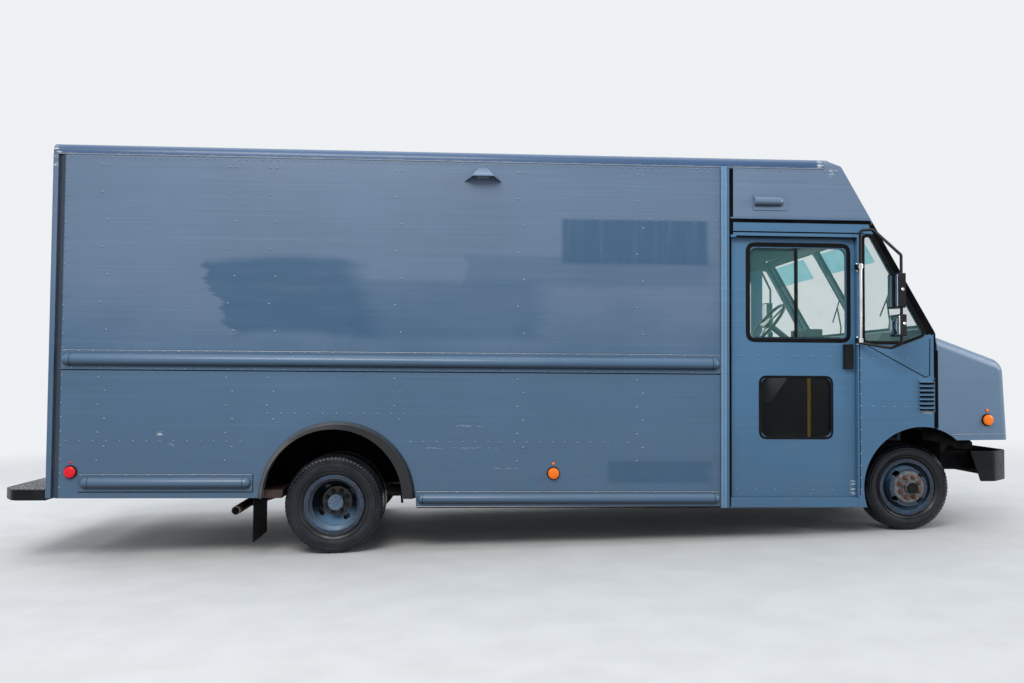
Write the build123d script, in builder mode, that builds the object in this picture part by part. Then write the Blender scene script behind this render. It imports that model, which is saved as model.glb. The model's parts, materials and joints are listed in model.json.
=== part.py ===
from build123d import *
import os
from math import cos, radians, sin, sqrt

# Millimetres. X runs forward from the rear axle, Y to the left and Z up from the road. The body is drawn level.
# It rides nose down on its springs, so what the springs carry is set at that rake at the end.
RAKE = 1.65
SEAT_GAP = 0.3
MOVING_GAP = 5.0

# Wheels, tyres and tracks
WHEELBASE = 4517.0
REAR_TYRE_R = 366.0
FRONT_TYRE_R = 344.0
TYRE_WIDTH = 224.0
TREAD_WIDTH = 176.0
RIM_SEAT_R = 204.0
RIM_FLANGE_R = 221.0
RIM_WIDTH = 168.0
RIM_WALL = 9.0
WHEEL_OFFSET = 131.0
DISC_WALL = 12.0
HAND_HOLE_R = 16.0
HAND_HOLE_LONG = 58.0
REAR_HOLE_TURN = 33.0
FRONT_HOLE_TURN = 40.0
HAND_HOLE_PITCH_R = 138.0
HUB_R = 61.0
REAR_TRACK = 1890.0
FRONT_TRACK = 1760.0
SPINDLE_R = 26.0
RUNNING_GAP = 0.05

# Body shell
WIDTH = 2440.0
WALL = 40.0
REAR_X = -2095.0
POST_DEPTH = 90.0
BODY_BOTTOM = 420.0
SKIRT_BOTTOM = 360.0
EAVES_Z = 2966.0
ROOF_EDGE_Z = 3045.0
ROOF_CROWN = 30.0
ROOF_THICK = 30.0
RAIL_TURN = 60.0
ROOF_FRONT_X = 3742.0
FLOOR_TOP = 850.0
FLOOR_PLATE = 30.0

# Frame
FRAME_WIDTH = 864.0
FRAME_BOTTOM = 545.0
FRAME_TOP = 725.0
FRAME_WEB = 8.0
FRAME_FLANGE = 65.0
FRAME_REAR_X = -2095.0
FRAME_FRONT_X = 5060.0

# Wheel arches, as offsets from the axle in the level drawing
REAR_ARCH_R = 515.0
REAR_ARCH_DX = -2.0
REAR_ARCH_DZ = 52.0
FRONT_ARCH_R = 470.0
FRONT_ARCH_DX = 10.0
FRONT_ARCH_DZ = 21.0
FLARE_R = 580.0
FLARE_DX = 31.0
FLARE_DZ = -6.0
FLARE_OUT = 52.0
FLARE_LEAN = 19.0

# Sliding doors
POST_X = 2921.0
POST_WIDTH = 79.0
POST_PROUD = 18.0
POST_RIB = 45.0
DOOR_FRONT_X = 4000.0
DOOR_LAP = 12.0
DOOR_THICK = 35.0
DOOR_TRAVEL = 760.0
HEADER_BOTTOM = 2421.0
SILL_TOP = 419.0
SILL_BOTTOM = 345.0
UPPER_WINDOW = (3162.0, 3929.0, 1650.0, 2349.0)
PANE_LAP = (3520.0, 3554.0)
PANE_STEP = 9.0
LOWER_WINDOW = (3252.0, 3810.0, 882.0, 1338.0)
GLASS_THICK = 6.0

# Front
CAP_BOTTOM = 2545.0
SIDE_TOP = 2462.0
CAP_WALL = 30.0
GLASS_RAKE = 30.0
SCREEN_BASE_X = 4620.0
SCREEN_BASE_Z = 1696.0
SCREEN_TOP_Z = 2520.0
SCREEN_THICK = 40.0
PILLAR_WIDTH = 62.0
GAP_X = 4630.0
HOOD_GAP = 12.0
HOOD_TOP_Z = 1677.0
HOOD_FRONT_X = 5285.0
HOOD_BOTTOM = 860.0
HOOD_WALL = 14.0
HOOD_REAR_HALF = 1200.0
HOOD_FRONT_HALF = 1105.0

HINGE_X = 5200.0
HINGE_Z = 900.0
HINGE_PIN_R = 10.0
HINGE_PIN_REACH = 46.0

# Bumpers
BUMPER_FRONT_X = 5310.0
BUMPER_BOTTOM = 540.0
BUMPER_TOP = 775.0
BUMPER_HALF = 1165.0
BUMPER_WALL = 8.0
STEP_REAR_X = -2460.0
STEP_TOP = 478.0
STEP_DEPTH = 78.0
STEP_HALF = 1190.0

HALF = WIDTH / 2
INNER = HALF - WALL
SIDES = (("right", -1), ("left", 1))


def level(x, z):
    """A point of the road's frame, as the level drawing of the body sees it."""
    c, s = cos(radians(RAKE)), sin(radians(RAKE))
    return x * c - z * s, x * s + z * c


REAR_AXLE_X, REAR_AXLE_Z = level(0, REAR_TYRE_R)
FRONT_AXLE_X, FRONT_AXLE_Z = level(WHEELBASE, FRONT_TYRE_R)
REAR_ARCH = (REAR_AXLE_X + REAR_ARCH_DX, REAR_AXLE_Z + REAR_ARCH_DZ)
FRONT_ARCH = (FRONT_AXLE_X + FRONT_ARCH_DX, FRONT_AXLE_Z + FRONT_ARCH_DZ)
SKIRT_X = REAR_ARCH[0] + FLARE_DX + FLARE_R + MOVING_GAP
SCREEN_SLOPE = sin(radians(GLASS_RAKE)) / cos(radians(GLASS_RAKE))
SCREEN_DEPTH = SCREEN_THICK / cos(radians(GLASS_RAKE))


def screen_x(z):
    """Where the slanted front of the cab stands at a height."""
    return SCREEN_BASE_X - (z - SCREEN_BASE_Z) * SCREEN_SLOPE


def block(x, y, z, mode=Mode.ADD):
    """A block from its (low, high) stations on each axis."""
    with Locations((x[0], y[0], z[0])):
        Box(x[1] - x[0], y[1] - y[0], z[1] - z[0], align=(Align.MIN,) * 3, mode=mode)


def side_plane(y):
    """The side view at a station across the body: drawn with X forward and Z up, and extruded towards +Y."""
    return Plane(origin=(0, y, 0), x_dir=(1, 0, 0), z_dir=(0, -1, 0))


def across(y):
    """(low, high) across the body for stations given on the right side's distance from the middle."""
    return tuple(sorted(y))


# Frame rails, C sections with their webs outside, and crossmembers between them
HALF_FRAME = FRAME_WIDTH / 2
CROSSMEMBERS = (-2080, -1250, -620, 560, 1400, 2300, 3150, 4980)
with BuildPart() as frame_rails:
    for _, s in SIDES:
        web = across((s * HALF_FRAME, s * (HALF_FRAME - FRAME_WEB)))
        flange = across((s * HALF_FRAME, s * (HALF_FRAME - FRAME_FLANGE)))
        block((FRAME_REAR_X, FRAME_FRONT_X), web, (FRAME_BOTTOM, FRAME_TOP))
        block((FRAME_REAR_X, FRAME_FRONT_X), flange, (FRAME_TOP - FRAME_WEB, FRAME_TOP))
        block((FRAME_REAR_X, FRAME_FRONT_X), flange, (FRAME_BOTTOM, FRAME_BOTTOM + FRAME_WEB))
    for x in CROSSMEMBERS:
        reach = (-HALF_FRAME + FRAME_WEB, HALF_FRAME - FRAME_WEB)
        block((x, x + 8), reach, (FRAME_BOTTOM + 20, FRAME_TOP - 20))
        block((x, x + 50), reach, (FRAME_TOP - 28, FRAME_TOP - 20))
        block((x, x + 50), reach, (FRAME_BOTTOM + 20, FRAME_BOTTOM + 28))
    for _, s in SIDES:
        with BuildSketch(side_plane(s * HALF_FRAME)) as tower:
            with BuildLine():
                Polyline((FRAME_FRONT_X - 70, FRAME_TOP), (FRAME_FRONT_X, FRAME_BOTTOM),
                         (FRAME_FRONT_X, FRAME_BOTTOM + 95),
                         (HINGE_X + 15, HINGE_Z - 20), (HINGE_X + 20, HINGE_Z + 15), (HINGE_X - 15, HINGE_Z + 20),
                         close=True)
            make_face()
        extrude(tower.sketch, amount=s * FRAME_WEB)
        with Locations((HINGE_X, s * (HALF_FRAME - HINGE_PIN_REACH / 2), HINGE_Z)):
            Cylinder(HINGE_PIN_R, HINGE_PIN_REACH, rotation=(90, 0, 0))

# Leaf springs: packs of leaves bent to one centre, with rolled eyes and hangers under the rails
SPRING_WIDTH = 64.0
SPRING_Y = HALF_FRAME - SPRING_WIDTH / 2
LEAF = 9.0
LEAF_STEP = 0.17
EYE_R = 22.0
EYE_DROP = 38.0
REAR_PAD_Z = REAR_AXLE_Z + 54.0
FRONT_PAD_Z = FRONT_AXLE_Z - 28.0
# axle X, pad height, half length, leaves
SPRINGS = ((REAR_AXLE_X, REAR_PAD_Z, 640.0, 5), (FRONT_AXLE_X, FRONT_PAD_Z, 480.0, 4))


def leaf_face(plane, x, top_z, inner_r, reach):
    """One leaf seen from the side: a strip of a ring, cut to its reach."""
    with BuildSketch(plane) as leaf:
        with Locations((x, top_z + inner_r)):
            Circle(inner_r + LEAF)
            Circle(inner_r, mode=Mode.SUBTRACT)
        with Locations((x, top_z)):
            Rectangle(2 * reach, reach, mode=Mode.INTERSECT)
    return leaf.sketch


with BuildPart() as leaf_springs:
    for x, z, half_length, leaves in SPRINGS:
        eye_z = FRAME_BOTTOM - EYE_DROP
        top_z = z + leaves * LEAF
        rise = eye_z - top_z
        bend = (half_length**2 + rise**2) / (2 * rise)
        for _, s in SIDES:
            plane = side_plane(s * HALF_FRAME)
            for n in range(leaves):
                reach = half_length * (1 - LEAF_STEP * n)
                extrude(leaf_face(plane, x, top_z - n * LEAF, bend + n * LEAF, reach), amount=s * SPRING_WIDTH)
            with BuildSketch(plane):
                with Locations((x - half_length, eye_z), (x + half_length, eye_z)):
                    Circle(EYE_R)
                with Locations((x - half_length, eye_z + EYE_DROP / 2), (x + half_length, eye_z + EYE_DROP / 2)):
                    Rectangle(36, EYE_DROP)
            extrude(amount=s * SPRING_WIDTH)

# Rear axle: tube with differential housing, backing plates, spring pads and stub ends
REAR_HUB_Y = REAR_TRACK / 2
DRUM_R = 158.0
DRUM_DEPTH = 100.0
REAR_BACKING_Y = REAR_HUB_Y - DISC_WALL - DRUM_DEPTH - MOVING_GAP
REAR_STUB_END = REAR_HUB_Y + 100.0
AXLE_TUBE_R = 48.0
DIFF_R = 160.0
DIFF_HALF = 125.0
NOSE_X = 250.0
with BuildPart() as rear_axle:
    with Locations((0, 0, REAR_TYRE_R)):
        Cylinder(AXLE_TUBE_R, 2 * REAR_BACKING_Y, rotation=(90, 0, 0))
        Cylinder(SPINDLE_R, 2 * REAR_STUB_END, rotation=(90, 0, 0))
        Sphere(DIFF_R)
    with Locations((NOSE_X / 2, 0, REAR_TYRE_R)):
        Cylinder(70, NOSE_X, rotation=(0, 90, 0))
    for _, s in SIDES:
        with Locations((0, s * (REAR_BACKING_Y - 4), REAR_TYRE_R)):
            Cylinder(DRUM_R, 8, rotation=(90, 0, 0))
        with Locations(Location((0, s * SPRING_Y, REAR_TYRE_R), (0, RAKE, 0))):
            Box(110, SPRING_WIDTH, REAR_PAD_Z - REAR_AXLE_Z - SEAT_GAP, align=(Align.CENTER, Align.CENTER, Align.MIN))

# Front axle: a dropped beam with an eye and a king pin at each end
FRONT_HUB_Y = FRONT_TRACK / 2
KING_PIN_Y = FRONT_HUB_Y - 145.0
KING_PIN_R = 16.0
EYE_HALF = 45.0
AXLE_EYE_R = 38.0
EAR_GAP = 5.0
EAR = 38.0
BEAM_HALF = 36.0
BEAM_DROP = (FRONT_TYRE_R - 105.0, FRONT_TYRE_R - 35.0)
with BuildPart() as front_axle:
    with BuildSketch(Plane.YZ.offset(WHEELBASE - BEAM_HALF)):
        with BuildLine():
            Polyline(
                (-KING_PIN_Y, FRONT_TYRE_R + EYE_HALF),
                (-KING_PIN_Y, FRONT_TYRE_R - EYE_HALF),
                (-KING_PIN_Y + 55, FRONT_TYRE_R - EYE_HALF),
                (-KING_PIN_Y + 140, BEAM_DROP[0]),
                (KING_PIN_Y - 140, BEAM_DROP[0]),
                (KING_PIN_Y - 55, FRONT_TYRE_R - EYE_HALF),
                (KING_PIN_Y, FRONT_TYRE_R - EYE_HALF),
                (KING_PIN_Y, FRONT_TYRE_R + EYE_HALF),
                (KING_PIN_Y - 60, FRONT_TYRE_R + EYE_HALF),
                (KING_PIN_Y - 150, BEAM_DROP[1]),
                (-KING_PIN_Y + 150, BEAM_DROP[1]),
                (-KING_PIN_Y + 60, FRONT_TYRE_R + EYE_HALF),
                close=True,
            )
        make_face()
    extrude(amount=2 * BEAM_HALF)
    for _, s in SIDES:
        with Locations((WHEELBASE, s * KING_PIN_Y, FRONT_TYRE_R)):
            Cylinder(AXLE_EYE_R, 2 * EYE_HALF)
            Cylinder(KING_PIN_R, 2 * (EYE_HALF + EAR_GAP + EAR))
        with Locations(Location((WHEELBASE, s * SPRING_Y, FRONT_TYRE_R), (0, RAKE, 0))):
            with Locations((0, 0, FRONT_PAD_Z - FRONT_AXLE_Z - SEAT_GAP)):
                Box(100, SPRING_WIDTH, 60, align=(Align.CENTER, Align.CENTER, Align.MAX))

# Steering knuckles: a yoke round each axle eye, a backing plate, a spindle and a steering arm
ARM_X = -180.0
ARM_Z = FRONT_TYRE_R - EYE_HALF - EAR_GAP - EAR
YOKE_Y = AXLE_EYE_R + MOVING_GAP
YOKE_PLATE = 20.0
FRONT_BACKING_R = 140.0
FRONT_STUB_END = FRONT_HUB_Y + 150.0
TIE_PIN_R = 9.0
TIE_PIN = 40.0
knuckles = {}
for name, s in SIDES:
    with BuildPart() as knuckle:
        for level_sign in (-1, 1):
            ear_z = FRONT_TYRE_R + level_sign * (EYE_HALF + EAR_GAP + EAR / 2)
            with Locations((WHEELBASE, s * KING_PIN_Y, ear_z)):
                Cylinder(AXLE_EYE_R, EAR)
            reach = across((s * KING_PIN_Y, s * (KING_PIN_Y + YOKE_Y + YOKE_PLATE)))
            block((WHEELBASE - AXLE_EYE_R, WHEELBASE + AXLE_EYE_R), reach, (ear_z - EAR / 2, ear_z + EAR / 2))
        plate = across((s * (KING_PIN_Y + YOKE_Y), s * (KING_PIN_Y + YOKE_Y + YOKE_PLATE)))
        tall = EYE_HALF + EAR_GAP + EAR
        block((WHEELBASE - AXLE_EYE_R, WHEELBASE + AXLE_EYE_R), plate, (FRONT_TYRE_R - tall, FRONT_TYRE_R + tall))
        backing_y = KING_PIN_Y + YOKE_Y + YOKE_PLATE
        with Locations((WHEELBASE, s * (backing_y + 3), FRONT_TYRE_R)):
            Cylinder(FRONT_BACKING_R, 6, rotation=(90, 0, 0))
        with Locations((WHEELBASE, s * (backing_y + FRONT_STUB_END) / 2, FRONT_TYRE_R)):
            Cylinder(SPINDLE_R, FRONT_STUB_END - backing_y, rotation=(90, 0, 0))
        arm_y = across((s * (KING_PIN_Y - 18), s * (KING_PIN_Y + 18)))
        block((WHEELBASE + ARM_X, WHEELBASE), arm_y, (ARM_Z, ARM_Z + 22))
        with Locations((WHEELBASE + ARM_X, s * KING_PIN_Y, ARM_Z + 11)):
            Cylinder(18, 22)
        with Locations((WHEELBASE + ARM_X, s * KING_PIN_Y, ARM_Z - TIE_PIN / 2)):
            Cylinder(TIE_PIN_R, TIE_PIN)
        with Locations((WHEELBASE, s * KING_PIN_Y, FRONT_TYRE_R)):
            Cylinder(KING_PIN_R + RUNNING_GAP, 4 * EYE_HALF + 4 * EAR, mode=Mode.SUBTRACT)
    knuckles[name] = knuckle

# Tie rod: an eye on each steering arm's pin, and the tube between them
TIE_EYE_R = 20.0
TIE_EYE = 30.0
TIE_Z = ARM_Z - EAR_GAP - TIE_EYE / 2
with BuildPart() as tie_rod:
    with Locations((WHEELBASE + ARM_X, 0, TIE_Z)):
        Cylinder(12, 2 * KING_PIN_Y, rotation=(90, 0, 0))
    for _, s in SIDES:
        with Locations((WHEELBASE + ARM_X, s * KING_PIN_Y, TIE_Z)):
            Cylinder(TIE_EYE_R, TIE_EYE)
            Cylinder(TIE_PIN_R + (RUNNING_GAP if s < 0 else 1.0), 60, mode=Mode.SUBTRACT)

# Wheels: sections drawn with X outward along the axle from the tyre's middle and Y outward from the axle
RIM_HALF = RIM_WIDTH / 2
WELL_R = 180.0


def wheel_plane(x, y, z, s):
    """The section plane of a wheel on the side s, with its X outward."""
    return Plane(origin=(x, s * y, z), x_dir=(0, s, 0), z_dir=(s, 0, 0))


def rim_section():
    """The barrel's section, flange to flange with its drop centre."""
    w = RIM_HALF
    seat = RIM_SEAT_R
    Polyline(
        (-w - RIM_WALL, RIM_FLANGE_R), (-w, RIM_FLANGE_R), (-w, seat), (-w + 38, seat), (-w + 54, WELL_R),
        (w - 54, WELL_R), (w - 38, seat), (w, seat), (w, RIM_FLANGE_R), (w + RIM_WALL, RIM_FLANGE_R),
        (w + RIM_WALL, seat - RIM_WALL), (w - 34, seat - RIM_WALL), (w - 50, WELL_R - RIM_WALL),
        (-w + 50, WELL_R - RIM_WALL), (-w + 34, seat - RIM_WALL), (-w - RIM_WALL, seat - RIM_WALL), close=True,
    )


def disc_section(face, turn):
    """The dished disc, from the drop centre to its flat seat. Its bowl opens towards turn."""
    t = turn
    Polyline(
        (face + t * 128, WELL_R - RIM_WALL + 2), (face + t * 92, 156), (face + t * 40, 134),
        (face + t * DISC_WALL, 112), (face + t * DISC_WALL, HUB_R - 8), (face, HUB_R - 8), (face, 118),
        (face + t * 34, 145), (face + t * 84, 166), (face + t * 106, WELL_R - RIM_WALL + 2), close=True,
    )


def tyre_section(radius):
    """The tyre from bead to bead, with a bulged wall and a flat tread."""
    w = RIM_HALF
    bulge = TYRE_WIDTH / 2
    middle = (RIM_FLANGE_R + radius) / 2 - 8
    Polyline(
        (-w, RIM_SEAT_R), (-w, RIM_FLANGE_R + 4), (-bulge, middle), (-TREAD_WIDTH / 2 - 13, radius - 26),
        (-TREAD_WIDTH / 2, radius - 5), (-TREAD_WIDTH / 4, radius), (TREAD_WIDTH / 4, radius),
        (TREAD_WIDTH / 2, radius - 5), (TREAD_WIDTH / 2 + 13, radius - 26), (bulge, middle),
        (w, RIM_FLANGE_R + 4), (w, RIM_SEAT_R), close=True,
    )


def turned(plane, *sections):
    """Turns sections about the axle and joins them to the part."""
    for draw in sections:
        with BuildSketch(plane) as profile:
            with BuildLine():
                draw()
            make_face()
        revolve(profile.sketch, axis=Axis(plane.origin, plane.x_dir))


def hand_holes(plane, turn, start, depth):
    """Cuts the disc's ovals, from a station along the axle outward."""
    with BuildSketch(Plane(plane.origin + plane.x_dir * start, x_dir=(1, 0, 0), z_dir=plane.x_dir)) as holes:
        with PolarLocations(HAND_HOLE_PITCH_R, 4, start_angle=turn):
            SlotOverall(HAND_HOLE_LONG, 2 * HAND_HOLE_R, rotation=90)
    extrude(holes.sketch, amount=depth, mode=Mode.SUBTRACT)


rims = {}
tyres = {}
for name, s in SIDES:
    outer = wheel_plane(0, REAR_HUB_Y + WHEEL_OFFSET, REAR_TYRE_R, s)
    inner = wheel_plane(0, REAR_HUB_Y - WHEEL_OFFSET, REAR_TYRE_R, s)
    seat = wheel_plane(0, REAR_HUB_Y, REAR_TYRE_R, s)

    def rear_hub():
        Polyline(
            (-DISC_WALL - DRUM_DEPTH, DRUM_R), (-DISC_WALL, DRUM_R), (-DISC_WALL, HUB_R), (DISC_WALL, HUB_R),
            (DISC_WALL, HUB_R - 2), (112, HUB_R - 2), (120, HUB_R - 12), (120, 0),
            (REAR_STUB_END - REAR_HUB_Y + 2, 0), (REAR_STUB_END - REAR_HUB_Y + 2, SPINDLE_R + RUNNING_GAP),
            (-DISC_WALL - 14, SPINDLE_R + RUNNING_GAP), (-DISC_WALL - 14, DRUM_R - 12),
            (-DISC_WALL - DRUM_DEPTH, DRUM_R - 12), close=True,
        )

    with BuildPart() as rear_rim:
        turned(outer, rim_section, lambda: disc_section(-WHEEL_OFFSET, 1))
        turned(inner, rim_section, lambda: disc_section(WHEEL_OFFSET, -1))
        turned(seat, rear_hub)
        hand_holes(seat, REAR_HOLE_TURN, 0, WHEEL_OFFSET)
    rims["rear_" + name] = rear_rim
    with BuildPart() as rear_tyre:
        turned(outer, lambda: tyre_section(REAR_TYRE_R))
        turned(inner, lambda: tyre_section(REAR_TYRE_R))
    tyres["rear_" + name] = rear_tyre

    face = wheel_plane(WHEELBASE, FRONT_HUB_Y, FRONT_TYRE_R, s)
    drum_start = KING_PIN_Y + YOKE_Y + YOKE_PLATE + 6 + MOVING_GAP - FRONT_HUB_Y

    def front_hub():
        flat = WHEEL_OFFSET - DISC_WALL
        Polyline(
            (drum_start, DRUM_R - 8), (flat, DRUM_R - 8), (flat, HUB_R), (WHEEL_OFFSET, HUB_R), (WHEEL_OFFSET, 46),
            (WHEEL_OFFSET + 44, 44), (WHEEL_OFFSET + 50, 36), (WHEEL_OFFSET + 50, 0),
            (FRONT_STUB_END - FRONT_HUB_Y + 2, 0), (FRONT_STUB_END - FRONT_HUB_Y + 2, SPINDLE_R + RUNNING_GAP),
            (flat - 20, SPINDLE_R + RUNNING_GAP), (flat - 20, DRUM_R - 20), (drum_start, DRUM_R - 20), close=True,
        )

    with BuildPart() as front_rim:
        turned(face, rim_section, lambda: disc_section(WHEEL_OFFSET, -1), front_hub)
        hand_holes(face, FRONT_HOLE_TURN, 0, 2 * WHEEL_OFFSET)
    rims["front_" + name] = front_rim
    with BuildPart() as front_tyre:
        turned(face, lambda: tyre_section(FRONT_TYRE_R))
    tyres["front_" + name] = front_tyre

# Cargo floor: a plate on cross sills, cut out over the rear wheels and beside the door pockets
SILL_HEIGHT = FLOOR_TOP - FLOOR_PLATE - FRAME_TOP
SILL_WIDTH = 50.0
FLOOR_SILLS = (-1990, -1300, -620, 560, 1150, 1740, 2330, 2880)
BULKHEAD_X = 2960.0
HOUSE_HALF = 530.0
HOUSE_INNER = 690.0
HOUSE_TOP = 1050.0
HOUSE_WALL = 6.0
FRAME_DEPTH_X = REAR_X + POST_DEPTH
POCKET_Y = INNER - MOVING_GAP - DOOR_THICK - MOVING_GAP
POCKET_START = POST_X + POST_WIDTH - DOOR_LAP - DOOR_TRAVEL - MOVING_GAP
with BuildPart() as cargo_floor:
    block((FRAME_DEPTH_X, POCKET_START), (-INNER, INNER), (FLOOR_TOP - FLOOR_PLATE, FLOOR_TOP))
    block((POCKET_START, BULKHEAD_X), (-POCKET_Y, POCKET_Y), (FLOOR_TOP - FLOOR_PLATE, FLOOR_TOP))
    for x in FLOOR_SILLS:
        reach = INNER if x + SILL_WIDTH < POCKET_START else POCKET_Y
        block((x, x + SILL_WIDTH), (-reach, reach), (FRAME_TOP, FLOOR_TOP - FLOOR_PLATE))
    for _, s in SIDES:
        well = (REAR_ARCH[0] - HOUSE_HALF, REAR_ARCH[0] + HOUSE_HALF)
        block(well, across((s * HOUSE_INNER, s * WIDTH)), (FRAME_TOP - 1, FLOOR_TOP + 1), mode=Mode.SUBTRACT)

# Wheelhouses: rear boxes through the cargo floor, and front tunnels ahead of the steps
LINER = 6.0
LINER_INNER = 640.0
with BuildPart() as wheelhouses:
    for _, s in SIDES:
        outer_x = (REAR_ARCH[0] - HOUSE_HALF, REAR_ARCH[0] + HOUSE_HALF)
        inner_x = (outer_x[0] + HOUSE_WALL, outer_x[1] - HOUSE_WALL)
        block(outer_x, across((s * HOUSE_INNER, s * INNER)), (FRAME_TOP + 60, HOUSE_TOP))
        room = across((s * (HOUSE_INNER + HOUSE_WALL), s * HALF))
        block(inner_x, room, (FRAME_TOP, HOUSE_TOP - HOUSE_WALL), mode=Mode.SUBTRACT)
        with BuildSketch(side_plane(s * INNER)) as tunnel:
            with Locations(FRONT_ARCH):
                Circle(FRONT_ARCH_R + LINER)
                Circle(FRONT_ARCH_R, mode=Mode.SUBTRACT)
            with Locations((FRONT_ARCH[0] - FRONT_ARCH_R - LINER, SILL_TOP)):
                Rectangle(SCREEN_BASE_X - FRONT_ARCH[0] + FRONT_ARCH_R, 2 * FRONT_ARCH_R,
                          align=(Align.MIN, Align.MIN), mode=Mode.INTERSECT)
        extrude(tunnel.sketch, amount=s * (INNER - LINER_INNER))

# Side walls, one panel each from the rear frame to the door post, with the wheel arch cut in its lower edge
walls = {}
for name, s in SIDES:
    with BuildPart() as wall:
        with BuildSketch(side_plane(s * HALF)):
            with BuildLine():
                Polyline(
                    (FRAME_DEPTH_X, BODY_BOTTOM), (SKIRT_X, BODY_BOTTOM), (SKIRT_X, SKIRT_BOTTOM),
                    (POST_X, SKIRT_BOTTOM), (POST_X, EAVES_Z), (FRAME_DEPTH_X, EAVES_Z), close=True,
                )
            make_face()
            with Locations(REAR_ARCH):
                Circle(REAR_ARCH_R, mode=Mode.SUBTRACT)
        extrude(amount=s * WALL)
    walls[name] = wall

# Wheel flares: half rings that lean in towards their outer edge and widen towards the front
with BuildPart() as wheel_flares:
    for _, s in SIDES:
        with Locations((REAR_ARCH[0] + FLARE_DX, s * (HALF + FLARE_OUT / 2), REAR_ARCH[1] + FLARE_DZ)):
            Cone(FLARE_R, FLARE_R - FLARE_LEAN, FLARE_OUT, rotation=(-s * 90, 0, 0))
    with Locations((REAR_ARCH[0], 0, REAR_ARCH[1])):
        Cylinder(REAR_ARCH_R, 2 * WIDTH, rotation=(90, 0, 0), mode=Mode.SUBTRACT)
    block((REAR_ARCH[0] - 2 * FLARE_R, REAR_ARCH[0] + 2 * FLARE_R), (-WIDTH, WIDTH), (-FLARE_R, BODY_BOTTOM),
          mode=Mode.SUBTRACT)

# Side rails: a half-round bulge with rounded ends on a flat flange
FLANGE = 7.0
BULGE_MARGIN = 10.0
# start X, end X, bottom Z, top Z, radius of the bulge
SIDE_RAILS = (
    (FRAME_DEPTH_X, POST_X, 1367.0, 1510.0, 46.0),
    (-1858.0, -603.0, 470.0, 597.0, 42.0),
    (SKIRT_X, POST_X, SKIRT_BOTTOM, 470.0, 38.0),
)
with BuildPart() as side_rails:
    for x0, x1, low, high, bulge_r in SIDE_RAILS:
        middle = (low + high) / 2
        ends = (x0 + BULGE_MARGIN + bulge_r, x1 - BULGE_MARGIN - bulge_r)
        for _, s in SIDES:
            face = s * (HALF + FLANGE)
            with Locations(((x0 + x1) / 2, face, middle)):
                Cylinder(bulge_r, ends[1] - ends[0], rotation=(0, 90, 0))
            with Locations(*[(x, face, middle) for x in ends]):
                Sphere(bulge_r)
            block((x0, x1), across((face, s * (HALF - bulge_r))), (middle - bulge_r, middle + bulge_r),
                  mode=Mode.SUBTRACT)
            block((x0, x1), across((s * HALF, face)), (low, high))


def crown(half_width, edge_z, rise):
    """The roof's crowned line from one side to the other."""
    ThreePointArc((-half_width, edge_z), (0, edge_z + rise), (half_width, edge_z))


# Roof: a crowned sheet between rounded rails that cap the walls
ROOF_HALF = HALF - RAIL_TURN
with BuildPart() as roof_panel:
    with BuildSketch(Plane.YZ.offset(REAR_X)) as section:
        with BuildLine():
            crown(ROOF_HALF, ROOF_EDGE_Z, ROOF_CROWN)
            Line((ROOF_HALF, ROOF_EDGE_Z), (ROOF_HALF, ROOF_EDGE_Z - ROOF_THICK))
            crown(ROOF_HALF, ROOF_EDGE_Z - ROOF_THICK, ROOF_CROWN)
            Line((-ROOF_HALF, ROOF_EDGE_Z - ROOF_THICK), (-ROOF_HALF, ROOF_EDGE_Z))
        make_face()
    extrude(section.sketch, amount=ROOF_FRONT_X - REAR_X)

with BuildPart() as roof_rails:
    for _, s in SIDES:
        with BuildSketch(Plane.YZ.offset(REAR_X)) as section:
            with BuildLine():
                shoulder = ROOF_EDGE_Z - RAIL_TURN
                Polyline((s * HALF, shoulder), (s * HALF, EAVES_Z), (s * INNER, EAVES_Z),
                         (s * ROOF_HALF, ROOF_EDGE_Z - ROOF_THICK), (s * ROOF_HALF, ROOF_EDGE_Z))
                middle = RAIL_TURN * (1 - sqrt(0.5))
                ThreePointArc((s * ROOF_HALF, ROOF_EDGE_Z), (s * (HALF - middle), ROOF_EDGE_Z - middle),
                              (s * HALF, shoulder))
            make_face()
        extrude(section.sketch, amount=ROOF_FRONT_X - REAR_X)

# Rear frame: corner posts, header and sill round the roll-up door's opening
DOOR_HALF = 1000.0
DOOR_LINTEL = 2640.0
COVE = (36.0, 46.0, 88.0)
COVE_DEPTH = 16.0
with BuildPart() as rear_frame:
    with BuildSketch(Plane.YZ.offset(REAR_X)) as section:
        with BuildLine():
            Polyline((-ROOF_HALF, ROOF_EDGE_Z - ROOF_THICK), (-INNER, EAVES_Z), (-HALF, EAVES_Z), (-HALF, BODY_BOTTOM),
                     (HALF, BODY_BOTTOM), (HALF, EAVES_Z), (INNER, EAVES_Z), (ROOF_HALF, ROOF_EDGE_Z - ROOF_THICK))
            crown(ROOF_HALF, ROOF_EDGE_Z - ROOF_THICK, ROOF_CROWN)
        make_face()
        with Locations((0, FLOOR_TOP)):
            Rectangle(2 * DOOR_HALF, DOOR_LINTEL - FLOOR_TOP, align=(Align.CENTER, Align.MIN), mode=Mode.SUBTRACT)
        with Locations((0, FRAME_TOP)):
            Rectangle(2 * DOOR_HALF, FRAME_TOP - BODY_BOTTOM, align=(Align.CENTER, Align.MAX), mode=Mode.SUBTRACT)
    extrude(section.sketch, amount=POST_DEPTH)
    for _, s in SIDES:
        with BuildSketch(Plane.XY.offset(BODY_BOTTOM)) as cove:
            with BuildLine():
                Polyline((REAR_X + COVE[0], s * HALF), (REAR_X + COVE[1], s * (HALF - COVE_DEPTH)),
                         (REAR_X + COVE[2], s * HALF), close=True)
            make_face()
        extrude(cove.sketch, amount=EAVES_Z - BODY_BOTTOM, mode=Mode.SUBTRACT)

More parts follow.
